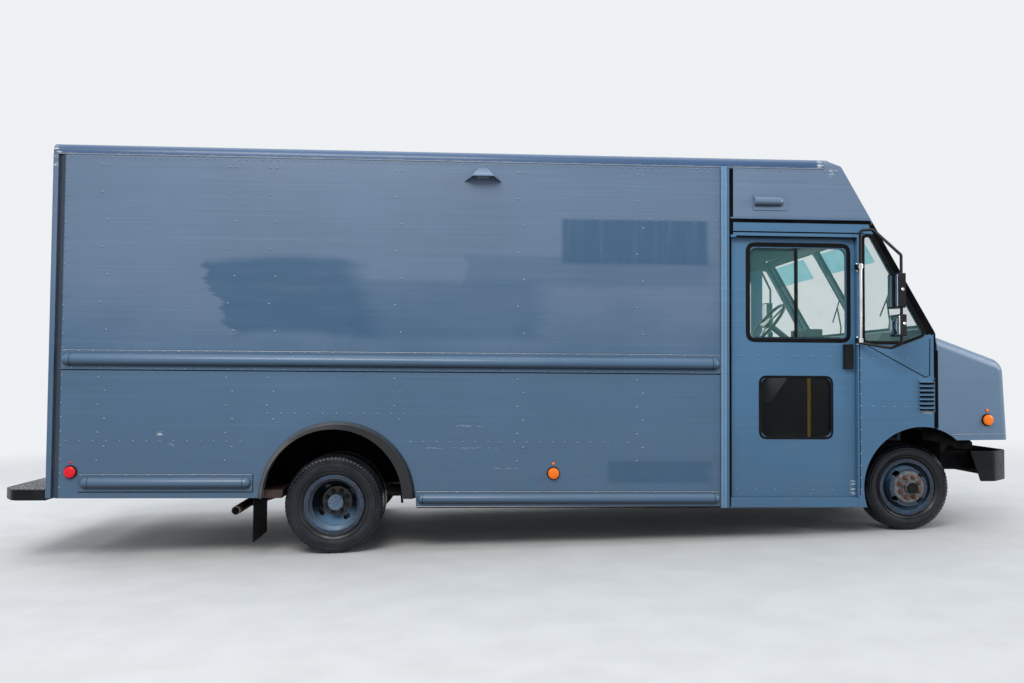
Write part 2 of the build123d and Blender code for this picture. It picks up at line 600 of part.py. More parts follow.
# Roll-up door: slats with a groove at each joint, closed, and its pull handle
SLATS = 8
SLAT_THICK = 34.0
SLAT_X = REAR_X + 20.0
GROOVE = 7.0
PULL = 14.0
PULL_OUT = 50.0
PULL_HALF = 75.0
PULL_Z = 1000.0
with BuildPart() as rear_roll_door:
    block((SLAT_X, SLAT_X + SLAT_THICK), (-DOOR_HALF, DOOR_HALF), (FLOOR_TOP, DOOR_LINTEL))
    pitch = (DOOR_LINTEL - FLOOR_TOP) / SLATS
    for n in range(1, SLATS):
        z = FLOOR_TOP + n * pitch
        with BuildSketch(side_plane(DOOR_HALF)) as groove:
            with BuildLine():
                Polyline((SLAT_X, z - GROOVE), (SLAT_X + GROOVE, z), (SLAT_X, z + GROOVE), close=True)
            make_face()
        extrude(groove.sketch, amount=2 * DOOR_HALF, mode=Mode.SUBTRACT)
    block((SLAT_X - PULL_OUT, SLAT_X - PULL_OUT + PULL), (-PULL_HALF, PULL_HALF), (PULL_Z, PULL_Z + PULL))
    for y in (-PULL_HALF, PULL_HALF - PULL):
        block((SLAT_X - PULL_OUT, SLAT_X), (y, y + PULL), (PULL_Z, PULL_Z + PULL))

# Door frames: post, header and sill round each sliding door
HEADER_TOP = CAP_BOTTOM
with BuildPart() as door_frames:
    for _, s in SIDES:
        with BuildSketch(side_plane(s * HALF)) as opening:
            with BuildLine():
                Polyline(
                    (POST_X, EAVES_Z), (POST_X, SILL_BOTTOM), (DOOR_FRONT_X, SILL_BOTTOM), (DOOR_FRONT_X, SILL_TOP),
                    (POST_X + POST_WIDTH, SILL_TOP), (POST_X + POST_WIDTH, HEADER_BOTTOM),
                    (DOOR_FRONT_X, HEADER_BOTTOM), (DOOR_FRONT_X, SIDE_TOP),
                    (screen_x(SIDE_TOP) - SCREEN_DEPTH, SIDE_TOP), (screen_x(HEADER_TOP) - SCREEN_DEPTH, HEADER_TOP),
                    (POST_X + POST_WIDTH, HEADER_TOP), (POST_X + POST_WIDTH, EAVES_Z), close=True,
                )
            make_face()
        extrude(opening.sketch, amount=s * WALL)
        block((POST_X, POST_X + POST_RIB), across((s * HALF, s * (HALF + POST_PROUD))), (SILL_BOTTOM, EAVES_Z))

# Front cap: the moulded brow above the doors and windshield, open below, with the roof's own shoulders and crown
CAP_BROW = ((3790.0, 3020.0), (screen_x(2985.0), 2985.0))
CAP_BROW_R = 45.0
CAP_ROOM = ((3778.0, 2988.0), (3852.0, 2952.0))
with BuildPart() as front_cap:
    with BuildSketch(side_plane(HALF)) as outline:
        with BuildLine():
            FilletPolyline((ROOF_FRONT_X, ROOF_EDGE_Z + ROOF_CROWN), *CAP_BROW, (screen_x(CAP_BOTTOM), CAP_BOTTOM),
                           radius=CAP_BROW_R)
            Polyline((screen_x(CAP_BOTTOM), CAP_BOTTOM), (POST_X + POST_WIDTH, CAP_BOTTOM),
                     (POST_X + POST_WIDTH, EAVES_Z), (ROOF_FRONT_X, EAVES_Z),
                     (ROOF_FRONT_X, ROOF_EDGE_Z + ROOF_CROWN))
        make_face()
    extrude(outline.sketch, amount=WIDTH)
    with BuildSketch(Plane.YZ.offset(POST_X)) as shoulders:
        with BuildLine():
            shoulder = ROOF_EDGE_Z - RAIL_TURN
            middle = RAIL_TURN * (1 - sqrt(0.5))
            Polyline((-HALF, shoulder), (-HALF, CAP_BOTTOM), (HALF, CAP_BOTTOM), (HALF, shoulder))
            crown(ROOF_HALF, ROOF_EDGE_Z, ROOF_CROWN)
            for _, s in SIDES:
                ThreePointArc((s * ROOF_HALF, ROOF_EDGE_Z), (s * (HALF - middle), ROOF_EDGE_Z - middle),
                              (s * HALF, shoulder))
        make_face()
    extrude(shoulders.sketch, amount=HOOD_FRONT_X - POST_X, mode=Mode.INTERSECT)
    with BuildSketch(side_plane(HALF - CAP_WALL)) as room:
        with BuildLine():
            Polyline((ROOF_FRONT_X, ROOF_EDGE_Z - ROOF_THICK), *CAP_ROOM, (screen_x(2900) - 35, 2900),
                     (screen_x(CAP_BOTTOM - 50) - 35, CAP_BOTTOM - 50), (POST_X, CAP_BOTTOM - 50),
                     (POST_X, ROOF_EDGE_Z + 50), (ROOF_FRONT_X, ROOF_EDGE_Z + 50), close=True)
        make_face()
    extrude(room.sketch, amount=WIDTH - 2 * CAP_WALL, mode=Mode.SUBTRACT)

# Windshield frame: a slanted panel with two windows, its glass, and the firewall under it
SCREEN_PLANE = Plane(origin=(SCREEN_BASE_X, 0, SCREEN_BASE_Z), x_dir=(0, 1, 0),
                     z_dir=(cos(radians(GLASS_RAKE)), 0, sin(radians(GLASS_RAKE))))
SCREEN_LENGTH = (CAP_BOTTOM - SCREEN_BASE_Z) / cos(radians(GLASS_RAKE))
DIVIDER = 36.0
SCREEN_RAIL = 62.0
PANE_WIDTH = HALF - PILLAR_WIDTH - DIVIDER / 2
PANE_HEIGHT = SCREEN_LENGTH - 2 * SCREEN_RAIL
PANE_CORNER = 45.0


def screen_panes():
    """Both panes of the windshield, in its own plane."""
    for s in (-1, 1):
        with Locations((s * (DIVIDER / 2 + PANE_WIDTH / 2), SCREEN_LENGTH / 2)):
            RectangleRounded(PANE_WIDTH, PANE_HEIGHT, PANE_CORNER)


with BuildPart() as windshield_frame:
    with BuildSketch(SCREEN_PLANE) as frame_face:
        Rectangle(WIDTH, SCREEN_LENGTH, align=(Align.CENTER, Align.MIN))
        with BuildSketch(Plane.XY, mode=Mode.SUBTRACT):
            screen_panes()
    extrude(frame_face.sketch, amount=-SCREEN_THICK)
    block((0, HOOD_FRONT_X), (-WIDTH, WIDTH), (CAP_BOTTOM, CAP_BOTTOM + 200), mode=Mode.SUBTRACT)

FIREWALL = 30.0
COVER_HALF = 340.0
COVER_TOP = 1340.0
with BuildPart() as firewall:
    with BuildSketch(side_plane(INNER)) as section:
        with BuildLine():
            back = SCREEN_BASE_X - FIREWALL
            Polyline((back, FLOOR_TOP - FLOOR_PLATE), (SCREEN_BASE_X, FLOOR_TOP - FLOOR_PLATE),
                     (SCREEN_BASE_X, SCREEN_BASE_Z), (back, SCREEN_BASE_Z - FIREWALL * SCREEN_SLOPE), close=True)
        make_face()
    extrude(section.sketch, amount=2 * INNER)
    block((0, HOOD_FRONT_X), (-COVER_HALF, COVER_HALF), (0, COVER_TOP), mode=Mode.SUBTRACT)
    for _, s in SIDES:
        with BuildSketch(side_plane(s * INNER)) as tunnel:
            with Locations(FRONT_ARCH):
                Circle(FRONT_ARCH_R + LINER)
        extrude(tunnel.sketch, amount=s * (INNER - LINER_INNER), mode=Mode.SUBTRACT)

# Cab sides: the panels ahead of the doors, round the corner windows and the front wheel arches
CORNER_WINDOW = ((4056.0, 2440.0), (4110.0, 2440.0), (4526.0, 1690.0), (4360.0, 1628.0), (4056.0, 1628.0))
LOUVRE_X = (4475.0, 4612.0)
LOUVRE_Z = (1079.0, 1345.0)
LOUVRE_PLATE = 4.0
LOUVRE_EDGE = 14.0
LOUVRE_LIP = 8.0
LOUVRE_OUT = 13.0
LOUVRES = 7
with BuildPart() as cab_sides:
    for _, s in SIDES:
        foot = SCREEN_BASE_Z - SCREEN_THICK * sin(radians(GLASS_RAKE))
        with BuildSketch(side_plane(s * HALF)) as panel:
            with BuildLine():
                Polyline(
                    (DOOR_FRONT_X, SILL_BOTTOM), (FRONT_ARCH[0], SILL_BOTTOM), (SCREEN_BASE_X, FRONT_ARCH[1]),
                    (SCREEN_BASE_X, SCREEN_BASE_Z), (SCREEN_BASE_X - SCREEN_THICK * cos(radians(GLASS_RAKE)), foot),
                    (screen_x(SIDE_TOP) - SCREEN_DEPTH, SIDE_TOP), (DOOR_FRONT_X, SIDE_TOP), close=True,
                )
            make_face()
            with Locations(FRONT_ARCH):
                Circle(FRONT_ARCH_R, mode=Mode.SUBTRACT)
        extrude(panel.sketch, amount=s * WALL)
        with BuildSketch(side_plane(s * HALF)) as window:
            with BuildLine():
                Polyline(*CORNER_WINDOW, close=True)
            make_face()
        extrude(window.sketch, amount=s * WALL, mode=Mode.SUBTRACT)
        block(LOUVRE_X, across((s * HALF, s * (HALF + LOUVRE_PLATE))), LOUVRE_Z)
        pitch = (LOUVRE_Z[1] - LOUVRE_Z[0] - 2 * LOUVRE_EDGE) / LOUVRES
        for n in range(LOUVRES):
            z = LOUVRE_Z[0] + LOUVRE_EDGE + n * pitch
            face = s * (HALF + LOUVRE_PLATE)
            with BuildSketch(Plane.YZ.offset(LOUVRE_X[0] + LOUVRE_EDGE)) as hoodlet:
                with BuildLine():
                    Polyline((face, z + pitch), (face, z + LOUVRE_LIP), (face + s * LOUVRE_OUT, z + LOUVRE_LIP),
                             close=True)
                make_face()
            extrude(hoodlet.sketch, amount=LOUVRE_X[1] - LOUVRE_X[0] - 2 * LOUVRE_EDGE)

GLASS_INSET = 12.0
with BuildPart() as cab_glass:
    with BuildSketch(SCREEN_PLANE.offset(-GLASS_INSET)) as panes:
        screen_panes()
    extrude(panes.sketch, amount=-GLASS_THICK)
    for _, s in SIDES:
        with BuildSketch(side_plane(s * (HALF - GLASS_INSET))) as window:
            with BuildLine():
                Polyline(*CORNER_WINDOW, close=True)
            make_face()
        extrude(window.sketch, amount=s * GLASS_THICK)

# Cab floor with its step wells, and the cover over the engine
STEP_X = (POST_X + POST_WIDTH + 50, DOOR_FRONT_X - 30)
STEP_INNER = 780.0
STEP_Z = 455.0
STEP_WALL = 8.0
CAB_FLOOR_X = BULKHEAD_X + 30
TUNNEL_X = FRONT_ARCH[0] - FRONT_ARCH_R - LINER
COVER_REAR_X = 3610.0
COVER_WALL = 12.0
with BuildPart() as cab_floor:
    block((CAB_FLOOR_X, TUNNEL_X), (-POCKET_Y, POCKET_Y), (FLOOR_TOP - FLOOR_PLATE, FLOOR_TOP))
    block((TUNNEL_X, SCREEN_BASE_X - FIREWALL), (-LINER_INNER, LINER_INNER), (FLOOR_TOP - FLOOR_PLATE, FLOOR_TOP))
    for _, s in SIDES:
        reach = across((s * STEP_INNER, s * POCKET_Y))
        block(STEP_X, reach, (STEP_Z - STEP_WALL, FLOOR_TOP))
        hollow = across((s * (STEP_INNER + STEP_WALL), s * HALF))
        block((STEP_X[0] + STEP_WALL, STEP_X[1] - STEP_WALL), hollow, (STEP_Z, FLOOR_TOP + 1), mode=Mode.SUBTRACT)
    block((COVER_REAR_X + COVER_WALL, SCREEN_BASE_X), (-COVER_HALF + COVER_WALL, COVER_HALF - COVER_WALL),
          (0, FLOOR_TOP + 1), mode=Mode.SUBTRACT)
    for x in (CAB_FLOOR_X + 20, COVER_REAR_X - 60):
        block((x, x + SILL_WIDTH), (-HALF_FRAME - 60, HALF_FRAME + 60), (FRAME_TOP, FLOOR_TOP - FLOOR_PLATE))
    for _, s in SIDES:
        block((FRONT_AXLE_X - 100, FRONT_AXLE_X - 50), across((s * COVER_HALF, s * HALF_FRAME)),
              (FRAME_TOP, FLOOR_TOP - FLOOR_PLATE))

with BuildPart() as engine_cover:
    with BuildSketch(side_plane(COVER_HALF)) as profile:
        with BuildLine():
            Polyline((COVER_REAR_X, FLOOR_TOP), (SCREEN_BASE_X - FIREWALL, FLOOR_TOP),
                     (SCREEN_BASE_X - FIREWALL, COVER_TOP), (COVER_REAR_X + 160, COVER_TOP),
                     (COVER_REAR_X, COVER_TOP - 220), close=True)
        make_face()
    extrude(profile.sketch, amount=2 * COVER_HALF)
    with BuildSketch(side_plane(COVER_HALF - COVER_WALL)) as profile:
        with BuildLine():
            Polyline((COVER_REAR_X + COVER_WALL, FLOOR_TOP - 1), (SCREEN_BASE_X, FLOOR_TOP - 1),
                     (SCREEN_BASE_X, COVER_TOP - COVER_WALL), (COVER_REAR_X + 160, COVER_TOP - COVER_WALL),
                     (COVER_REAR_X + COVER_WALL, COVER_TOP - 226), close=True)
        make_face()
    extrude(profile.sketch, amount=2 * (COVER_HALF - COVER_WALL), mode=Mode.SUBTRACT)

# Bulkhead between cab and load, with its doorway, clear of the door pockets
DOORWAY_HALF = 350.0
DOORWAY_TOP = 2650.0
with BuildPart() as cab_bulkhead:
    with BuildSketch(Plane.YZ.offset(BULKHEAD_X)) as section:
        with BuildLine():
            Polyline((-POCKET_Y, ROOF_EDGE_Z - ROOF_THICK - 40), (-POCKET_Y, FLOOR_TOP - FLOOR_PLATE),
                     (POCKET_Y, FLOOR_TOP - FLOOR_PLATE), (POCKET_Y, ROOF_EDGE_Z - ROOF_THICK - 40))
            Polyline((POCKET_Y, ROOF_EDGE_Z - ROOF_THICK - 40), (ROOF_HALF, ROOF_EDGE_Z - ROOF_THICK - SEAT_GAP))
            crown(ROOF_HALF, ROOF_EDGE_Z - ROOF_THICK - SEAT_GAP, ROOF_CROWN)
            Polyline((-ROOF_HALF, ROOF_EDGE_Z - ROOF_THICK - SEAT_GAP), (-POCKET_Y, ROOF_EDGE_Z - ROOF_THICK - 40))
        make_face()
        with Locations((0, FLOOR_TOP)):
            Rectangle(2 * DOORWAY_HALF, DOORWAY_TOP - FLOOR_TOP, align=(Align.CENTER, Align.MIN), mode=Mode.SUBTRACT)
    extrude(section.sketch, amount=30)

# Sliding doors: a slab with a sliding window of two panes, a fixed one below it, and the pull on its front edge
DOOR_X = (POST_X + POST_WIDTH - DOOR_LAP, DOOR_FRONT_X + DOOR_LAP)
DOOR_Z = (SILL_TOP - DOOR_LAP, HEADER_BOTTOM + DOOR_LAP)
DOOR_Y = INNER - MOVING_GAP
WINDOW_CORNER = 60.0
HANDLE_X = (3902.0, 3972.0)
HANDLE_Z = (1411.0, 1602.0)
HANDLE_OUT = 38.0
HANGER = 60.0
HANGERS = (DOOR_X[0] + 40, DOOR_X[1] - 100)
TRACK_Y = INNER - 20
TRACK_Z = (DOOR_Z[1] + 5, DOOR_Z[1] + 33)
TRACK_LIP = TRACK_Z[0] + 5
doors = {}
door_glass = {}


def window_hole(x0, x1, z0, z1):
    """A window's hole with its rounded corners."""
    with Locations(((x0 + x1) / 2, (z0 + z1) / 2)):
        RectangleRounded(x1 - x0, z1 - z0, WINDOW_CORNER)


for name, s in SIDES:
    with BuildPart() as door:
        block(DOOR_X, across((s * DOOR_Y, s * (DOOR_Y - DOOR_THICK))), DOOR_Z)
        with BuildSketch(side_plane(s * DOOR_Y)) as holes:
            window_hole(*UPPER_WINDOW)
            window_hole(*LOWER_WINDOW)
        extrude(holes.sketch, amount=s * DOOR_THICK, mode=Mode.SUBTRACT)
        block(HANDLE_X, across((s * DOOR_Y, s * (DOOR_Y + HANDLE_OUT))), HANDLE_Z)
        for x in HANGERS:
            block((x, x + HANGER), across((s * (TRACK_Y - 5), s * (TRACK_Y + 5))), (DOOR_Z[1] - 1, TRACK_LIP + 4))
            roller = across((s * (TRACK_Y - 11), s * (TRACK_Y + 11)))
            block((x, x + HANGER), roller, (TRACK_LIP + SEAT_GAP, TRACK_LIP + 12))
    doors[name] = door
    with BuildPart() as panes:
        middle = s * (DOOR_Y - DOOR_THICK / 2)
        with BuildSketch(side_plane(middle)) as lower:
            window_hole(*LOWER_WINDOW)
        extrude(lower.sketch, amount=s * GLASS_THICK)
        x0, x1, z0, z1 = UPPER_WINDOW
        for y, (start, end) in ((PANE_STEP, (x0, PANE_LAP[1])), (-PANE_STEP, (PANE_LAP[0], x1))):
            with BuildSketch(side_plane(middle - s * y)) as pane:
                window_hole(*UPPER_WINDOW)
                with Locations(((start + end) / 2, (z0 + z1) / 2)):
                    Rectangle(end - start, z1 - z0, mode=Mode.INTERSECT)
            extrude(pane.sketch, amount=s * GLASS_THICK)
    door_glass[name] = panes

# Door tracks: a channel along the wall above each door, in which its hangers run
with BuildPart() as door_tracks:
    for _, s in SIDES:
        run = (DOOR_X[0] - DOOR_TRAVEL, DOOR_FRONT_X)
        block(run, across((s * INNER, s * (TRACK_Y - 20))), TRACK_Z)
        block(run, across((s * (TRACK_Y + 13), s * (TRACK_Y - 13))), (TRACK_LIP, TRACK_Z[1] - 5), mode=Mode.SUBTRACT)
        block(run, across((s * (TRACK_Y + 7), s * (TRACK_Y - 7))), (TRACK_Z[0], TRACK_LIP), mode=Mode.SUBTRACT)

# Hood: the tilting nose, its sides tapered in towards a rounded front, open below and behind
HOOD_REAR_X = GAP_X + HOOD_GAP
HOOD_BROW = (5250.0, 1478.0)
HOOD_BROW_R = 127.0
HOOD_EDGE_R = 90.0
HOOD_PLAN = ((HOOD_REAR_X, -HOOD_REAR_HALF), (HOOD_FRONT_X, -HOOD_FRONT_HALF), (HOOD_FRONT_X, HOOD_FRONT_HALF),
             (HOOD_REAR_X, HOOD_REAR_HALF))
GRILLE_HALF = 540.0
GRILLE_Z = (960.0, 1280.0)
LAMP_Y = 780.0
LAMP_SIZE = (230.0, 170.0)
LAMP_Z = 1090.0
LAMP_LENS_R = 72.0


def at_hood_corner(edge):
    """Tell whether an edge belongs to the line that runs along the hood's top and down its front corner."""
    spot = edge.center()
    return abs(spot.Y) > HOOD_FRONT_HALF - HOOD_WALL and spot.X > HOOD_REAR_X + 1 and spot.Z > HOOD_BOTTOM + 1


with BuildPart() as hood:
    with BuildSketch(side_plane(WIDTH)) as side:
        with BuildLine():
            Polyline((HOOD_REAR_X, HOOD_BOTTOM), (HOOD_FRONT_X, HOOD_BOTTOM), HOOD_BROW, (HOOD_REAR_X, HOOD_TOP_Z),
                     close=True)
        make_face()
        fillet(side.vertices().sort_by_distance(HOOD_BROW)[0], HOOD_BROW_R)
    extrude(side.sketch, amount=2 * WIDTH)
    with BuildSketch() as plan:
        with BuildLine():
            Polyline(*HOOD_PLAN, close=True)
        make_face()
    extrude(plan.sketch, amount=2 * HOOD_TOP_Z, mode=Mode.INTERSECT)
    fillet(hood.edges().filter_by(at_hood_corner), HOOD_EDGE_R)
    openings = hood.faces().sort_by(Axis.X)[:1] + hood.faces().sort_by(Axis.Z)[:1]
    offset(amount=-HOOD_WALL, openings=openings)
    with BuildSketch(side_plane(WIDTH)) as arch:
        with Locations(FRONT_ARCH):
            Circle(FRONT_ARCH_R)
    extrude(arch.sketch, amount=2 * WIDTH, mode=Mode.SUBTRACT)
    block((HOOD_FRONT_X - 80, HOOD_FRONT_X + 50), (-GRILLE_HALF, GRILLE_HALF), GRILLE_Z, mode=Mode.SUBTRACT)
    for _, s in SIDES:
        with Locations((HOOD_FRONT_X, s * LAMP_Y, LAMP_Z)):
            Box(100, *LAMP_SIZE, mode=Mode.SUBTRACT)
        lug = across((s * (HALF_FRAME - HINGE_PIN_REACH + 8), s * (HALF_FRAME - FRAME_WEB - 12)))
        block((HINGE_X - 20, HOOD_FRONT_X - HOOD_WALL / 2), lug, (HINGE_Z - 25, HINGE_Z + 35))
        with Locations((HINGE_X, s * HALF_FRAME, HINGE_Z)):
            Cylinder(HINGE_PIN_R + RUNNING_GAP, 3 * HINGE_PIN_REACH, rotation=(90, 0, 0), mode=Mode.SUBTRACT)

# Grille: a frame with slanted slats and two uprights behind them, and the headlamps with their sunk lenses
SLAT_COUNT = 8
GRILLE_EDGE = 18.0
SLAT_RISE = 12.0
SLAT_DROP = 20.0
with BuildPart() as grille:
    front = HOOD_FRONT_X - 14
    inside = GRILLE_HALF - GRILLE_EDGE
    block((front - 26, front), (-GRILLE_HALF, GRILLE_HALF), GRILLE_Z)
    block((front - 30, front + 5), (-inside, inside), (GRILLE_Z[0] + GRILLE_EDGE, GRILLE_Z[1] - GRILLE_EDGE),
          mode=Mode.SUBTRACT)
    pitch = (GRILLE_Z[1] - GRILLE_Z[0] - 2 * GRILLE_EDGE) / SLAT_COUNT
    for n in range(1, SLAT_COUNT):
        z = GRILLE_Z[0] + GRILLE_EDGE + n * pitch
        with BuildSketch(side_plane(inside)) as slat:
            with BuildLine():
                Polyline((front - 24, z + SLAT_RISE), (front - 2, z - SLAT_DROP + SLAT_RISE),
                         (front - 2, z - SLAT_DROP), (front - 24, z), close=True)
            make_face()
        extrude(slat.sketch, amount=2 * inside)
    for y in (-GRILLE_HALF / 3, GRILLE_HALF / 3):
        block((front - 26, front - 20), (y - 5, y + 5), GRILLE_Z)

with BuildPart() as headlamps:
    for _, s in SIDES:
        with Locations((HOOD_FRONT_X - 24, s * LAMP_Y, LAMP_Z)):
            Box(40, *LAMP_SIZE)
        with Locations((HOOD_FRONT_X - 4, s * LAMP_Y, LAMP_Z)):
            Cylinder(LAMP_LENS_R, 24, rotation=(0, 90, 0), mode=Mode.SUBTRACT)
            Cone(LAMP_LENS_R - 4, LAMP_LENS_R - 22, 14, rotation=(0, 90, 0),
                 align=(Align.CENTER, Align.CENTER, Align.MAX))

# Front bumper: a channel wrapped round the nose with slanted ends, on brackets from the frame
BRACKET = 10.0
BUMPER_TURN = (190.0, 170.0)
BUMPER_BEND_R = 70.0
BUMPER_END_X = (4925.0, 5005.0)
BUMPER_CUT_X = BUMPER_END_X[0] - 2 * BUMPER_WALL - 1
with BuildPart() as front_bumper:
    with BuildSketch(Plane.XY.offset(BUMPER_BOTTOM)) as plan:
        with BuildLine():
            Polyline((BUMPER_CUT_X, -BUMPER_HALF), (BUMPER_FRONT_X - BUMPER_TURN[0], -BUMPER_HALF),
                     (BUMPER_FRONT_X, -BUMPER_HALF + BUMPER_TURN[1]), (BUMPER_FRONT_X, BUMPER_HALF - BUMPER_TURN[1]),
                     (BUMPER_FRONT_X - BUMPER_TURN[0], BUMPER_HALF), (BUMPER_CUT_X, BUMPER_HALF), close=True)
        make_face()
        fillet(plan.vertices().sort_by(Axis.X)[2:], BUMPER_BEND_R)
        offset(amount=-BUMPER_WALL, mode=Mode.SUBTRACT)
    extrude(plan.sketch, amount=BUMPER_TOP - BUMPER_BOTTOM)
    with BuildSketch(side_plane(WIDTH)) as slant:
        with BuildLine():
            Polyline((BUMPER_CUT_X - 1, BUMPER_TOP + 1), (BUMPER_END_X[0], BUMPER_TOP + 1),
                     (BUMPER_END_X[0], BUMPER_TOP), (BUMPER_END_X[1], BUMPER_BOTTOM),
                     (BUMPER_CUT_X - 1, BUMPER_BOTTOM), close=True)
        make_face()
    extrude(slant.sketch, amount=2 * WIDTH, mode=Mode.SUBTRACT)
    for _, s in SIDES:
        web = across((s * HALF_FRAME, s * (HALF_FRAME + BRACKET)))
        block((FRAME_FRONT_X - 160, BUMPER_FRONT_X - BUMPER_WALL), web, (FRAME_BOTTOM + 15, FRAME_TOP - 15))

# Rear step bumper: a folded tread plate with rounded corners, on brackets from the frame
STEP_SHEET = 6.0
STEP_FRONT_X = REAR_X - 12
STEP_CUT = (110.0, 160.0)
STEP_CORNER_R = 90.0
HITCH_R = 12.7
with BuildPart() as rear_step_bumper:
    with BuildSketch(Plane.XY.offset(STEP_TOP - STEP_DEPTH)) as plan:
        with BuildLine():
            Polyline((STEP_FRONT_X, -STEP_HALF), (STEP_REAR_X + STEP_CUT[0], -STEP_HALF),
                     (STEP_REAR_X, -STEP_HALF + STEP_CUT[1]), (STEP_REAR_X, STEP_HALF - STEP_CUT[1]),
                     (STEP_REAR_X + STEP_CUT[0], STEP_HALF), (STEP_FRONT_X, STEP_HALF), close=True)
        make_face()
        fillet(plan.vertices().sort_by(Axis.X)[:4], STEP_CORNER_R)
    extrude(plan.sketch, amount=STEP_DEPTH)
    bottom = rear_step_bumper.faces().sort_by(Axis.Z)[0]
    offset(amount=-STEP_SHEET, openings=bottom)
    for _, s in SIDES:
        web = across((s * HALF_FRAME, s * (HALF_FRAME + BRACKET)))
        block((STEP_REAR_X + 150, REAR_X + 250), web, (STEP_TOP - STEP_SHEET, STEP_TOP + 40))
        block((REAR_X, REAR_X + 250), web, (STEP_TOP, FRAME_TOP - 20))
    with Locations((STEP_REAR_X + 90, 0, STEP_TOP)):
        Cylinder(HITCH_R, 4 * STEP_SHEET, mode=Mode.SUBTRACT)

# Engine and gearbox as plain masses, with their mounts on the rails, and the radiator on the frame
ENGINE_X = (3680.0, 4480.0)
GEARBOX_X = 3260.0
GEARBOX_Z = (430.0, 700.0)
ENGINE_HALF = 285.0
ENGINE_Z = (565.0, 1180.0)
GEARBOX_HALF = 165.0
MOUNT_X = (4030.0, 4100.0)
MOUNT_Z = (590.0, 650.0)
RADIATOR_X = (4880.0, 4950.0)
RADIATOR_TOP = 1290.0
with BuildPart() as engine_block:
    block(ENGINE_X, (-ENGINE_HALF, ENGINE_HALF), ENGINE_Z)
    block((GEARBOX_X, ENGINE_X[0]), (-GEARBOX_HALF, GEARBOX_HALF), GEARBOX_Z)
    for _, s in SIDES:
        block(MOUNT_X, across((s * (ENGINE_HALF - 5), s * (HALF_FRAME - FRAME_WEB))), MOUNT_Z)
    block(RADIATOR_X, (-HALF_FRAME + 20, HALF_FRAME - 20), (FRAME_TOP, RADIATOR_TOP))

# Drive shaft, from the axle's nose to the gearbox
SHAFT_R = 38.0
shaft_rear = Vector(*level(NOSE_X, REAR_TYRE_R)[:1], 0, level(NOSE_X, REAR_TYRE_R)[1])
shaft_front = Vector(GEARBOX_X, 0, 500)
with BuildPart() as drive_shaft:
    run = shaft_front - shaft_rear
    reach = run.length - 2 * (SHAFT_R + SEAT_GAP)
    along = run.normalized()
    with BuildSketch(Plane(origin=shaft_rear + along * (SHAFT_R + SEAT_GAP), z_dir=along)) as tube:
        Circle(SHAFT_R)
    extrude(tube.sketch, amount=reach)
    with Locations(shaft_rear + along * (SHAFT_R + SEAT_GAP), shaft_front - along * (SHAFT_R + SEAT_GAP)):
        Sphere(SHAFT_R)

# Fuel tank on the left rail, and the exhaust on the right
with BuildPart() as fuel_tank:
    block((900, 1900), (HALF_FRAME + 15, HALF_FRAME + 400), (415, 700))
    fillet(fuel_tank.edges().filter_by(Axis.X), 50)
    for x in (1050, 1700):
        block((x, x + 50), (HALF_FRAME, HALF_FRAME + 40), (560, 700))

PIPE_R = 33.0
MUFFLER_R = 95.0
EXHAUST_Y = -560.0
TAIL = (-734.0, 321.0)
with BuildPart() as exhaust_pipe:
    with BuildLine() as route:
        FilletPolyline((3100, EXHAUST_Y, 480), (420, EXHAUST_Y, 480), (180, EXHAUST_Y - 20, 530),
                       (-260, EXHAUST_Y - 20, 530), (-520, EXHAUST_Y - 20, TAIL[1] + 60), (TAIL[0], -700, TAIL[1]),
                       (TAIL[0], -1165, TAIL[1]), radius=70)
    with BuildSketch(Plane(origin=route.line @ 0, z_dir=route.line % 0)):
        Circle(PIPE_R)
    sweep()
    with Locations((1550, EXHAUST_Y, 480)):
        Cylinder(MUFFLER_R, 600, rotation=(0, 90, 0))
    for x in (1400, 1700):
        block((x - 15, x + 15), (EXHAUST_Y, -HALF_FRAME), (480 + MUFFLER_R - 12, 480 + MUFFLER_R + 20))

# Mud flaps behind the rear wheels, hung from the floor's sill
FLAP_X = -606.0
FLAP_THICK = 9.0
FLAP_BOTTOM = 85.0
with BuildPart() as mud_flaps:
    for _, s in SIDES:
        block((FLAP_X, FLAP_X + FLAP_THICK), across((s * 690, s * (INNER - 8))), (FLAP_BOTTOM, FRAME_TOP))

# Dashboard: one profile across the cab, with the instrument hump ahead of the driver
DASH_HALF = INNER - 20
DASH_REAR_X = 4180.0
DASH_Z = (1400.0, 1640.0)
HUMP_X = (4200.0, 4360.0)
HUMP_HALF = 200.0
HUMP_TOP = 1800.0
DRIVER_Y = 560.0
with BuildPart() as dashboard:
    with BuildSketch(side_plane(DASH_HALF)) as profile:
        with BuildLine():
            Polyline((SCREEN_BASE_X - FIREWALL, DASH_Z[1]), (SCREEN_BASE_X - FIREWALL, DASH_Z[0]),
                     (SCREEN_BASE_X - FIREWALL - 170, COVER_TOP + 5), (DASH_REAR_X + 40, COVER_TOP + 5),
                     (DASH_REAR_X, DASH_Z[0]), (DASH_REAR_X, DASH_Z[1]), (DASH_REAR_X + 50, DASH_Z[1] + 60),
                     (SCREEN_BASE_X - FIREWALL - 110, DASH_Z[1] + 20), close=True)
        make_face()
    extrude(profile.sketch, amount=2 * DASH_HALF)
    block(HUMP_X, (DRIVER_Y - HUMP_HALF, DRIVER_Y + HUMP_HALF), (DASH_Z[1], HUMP_TOP))

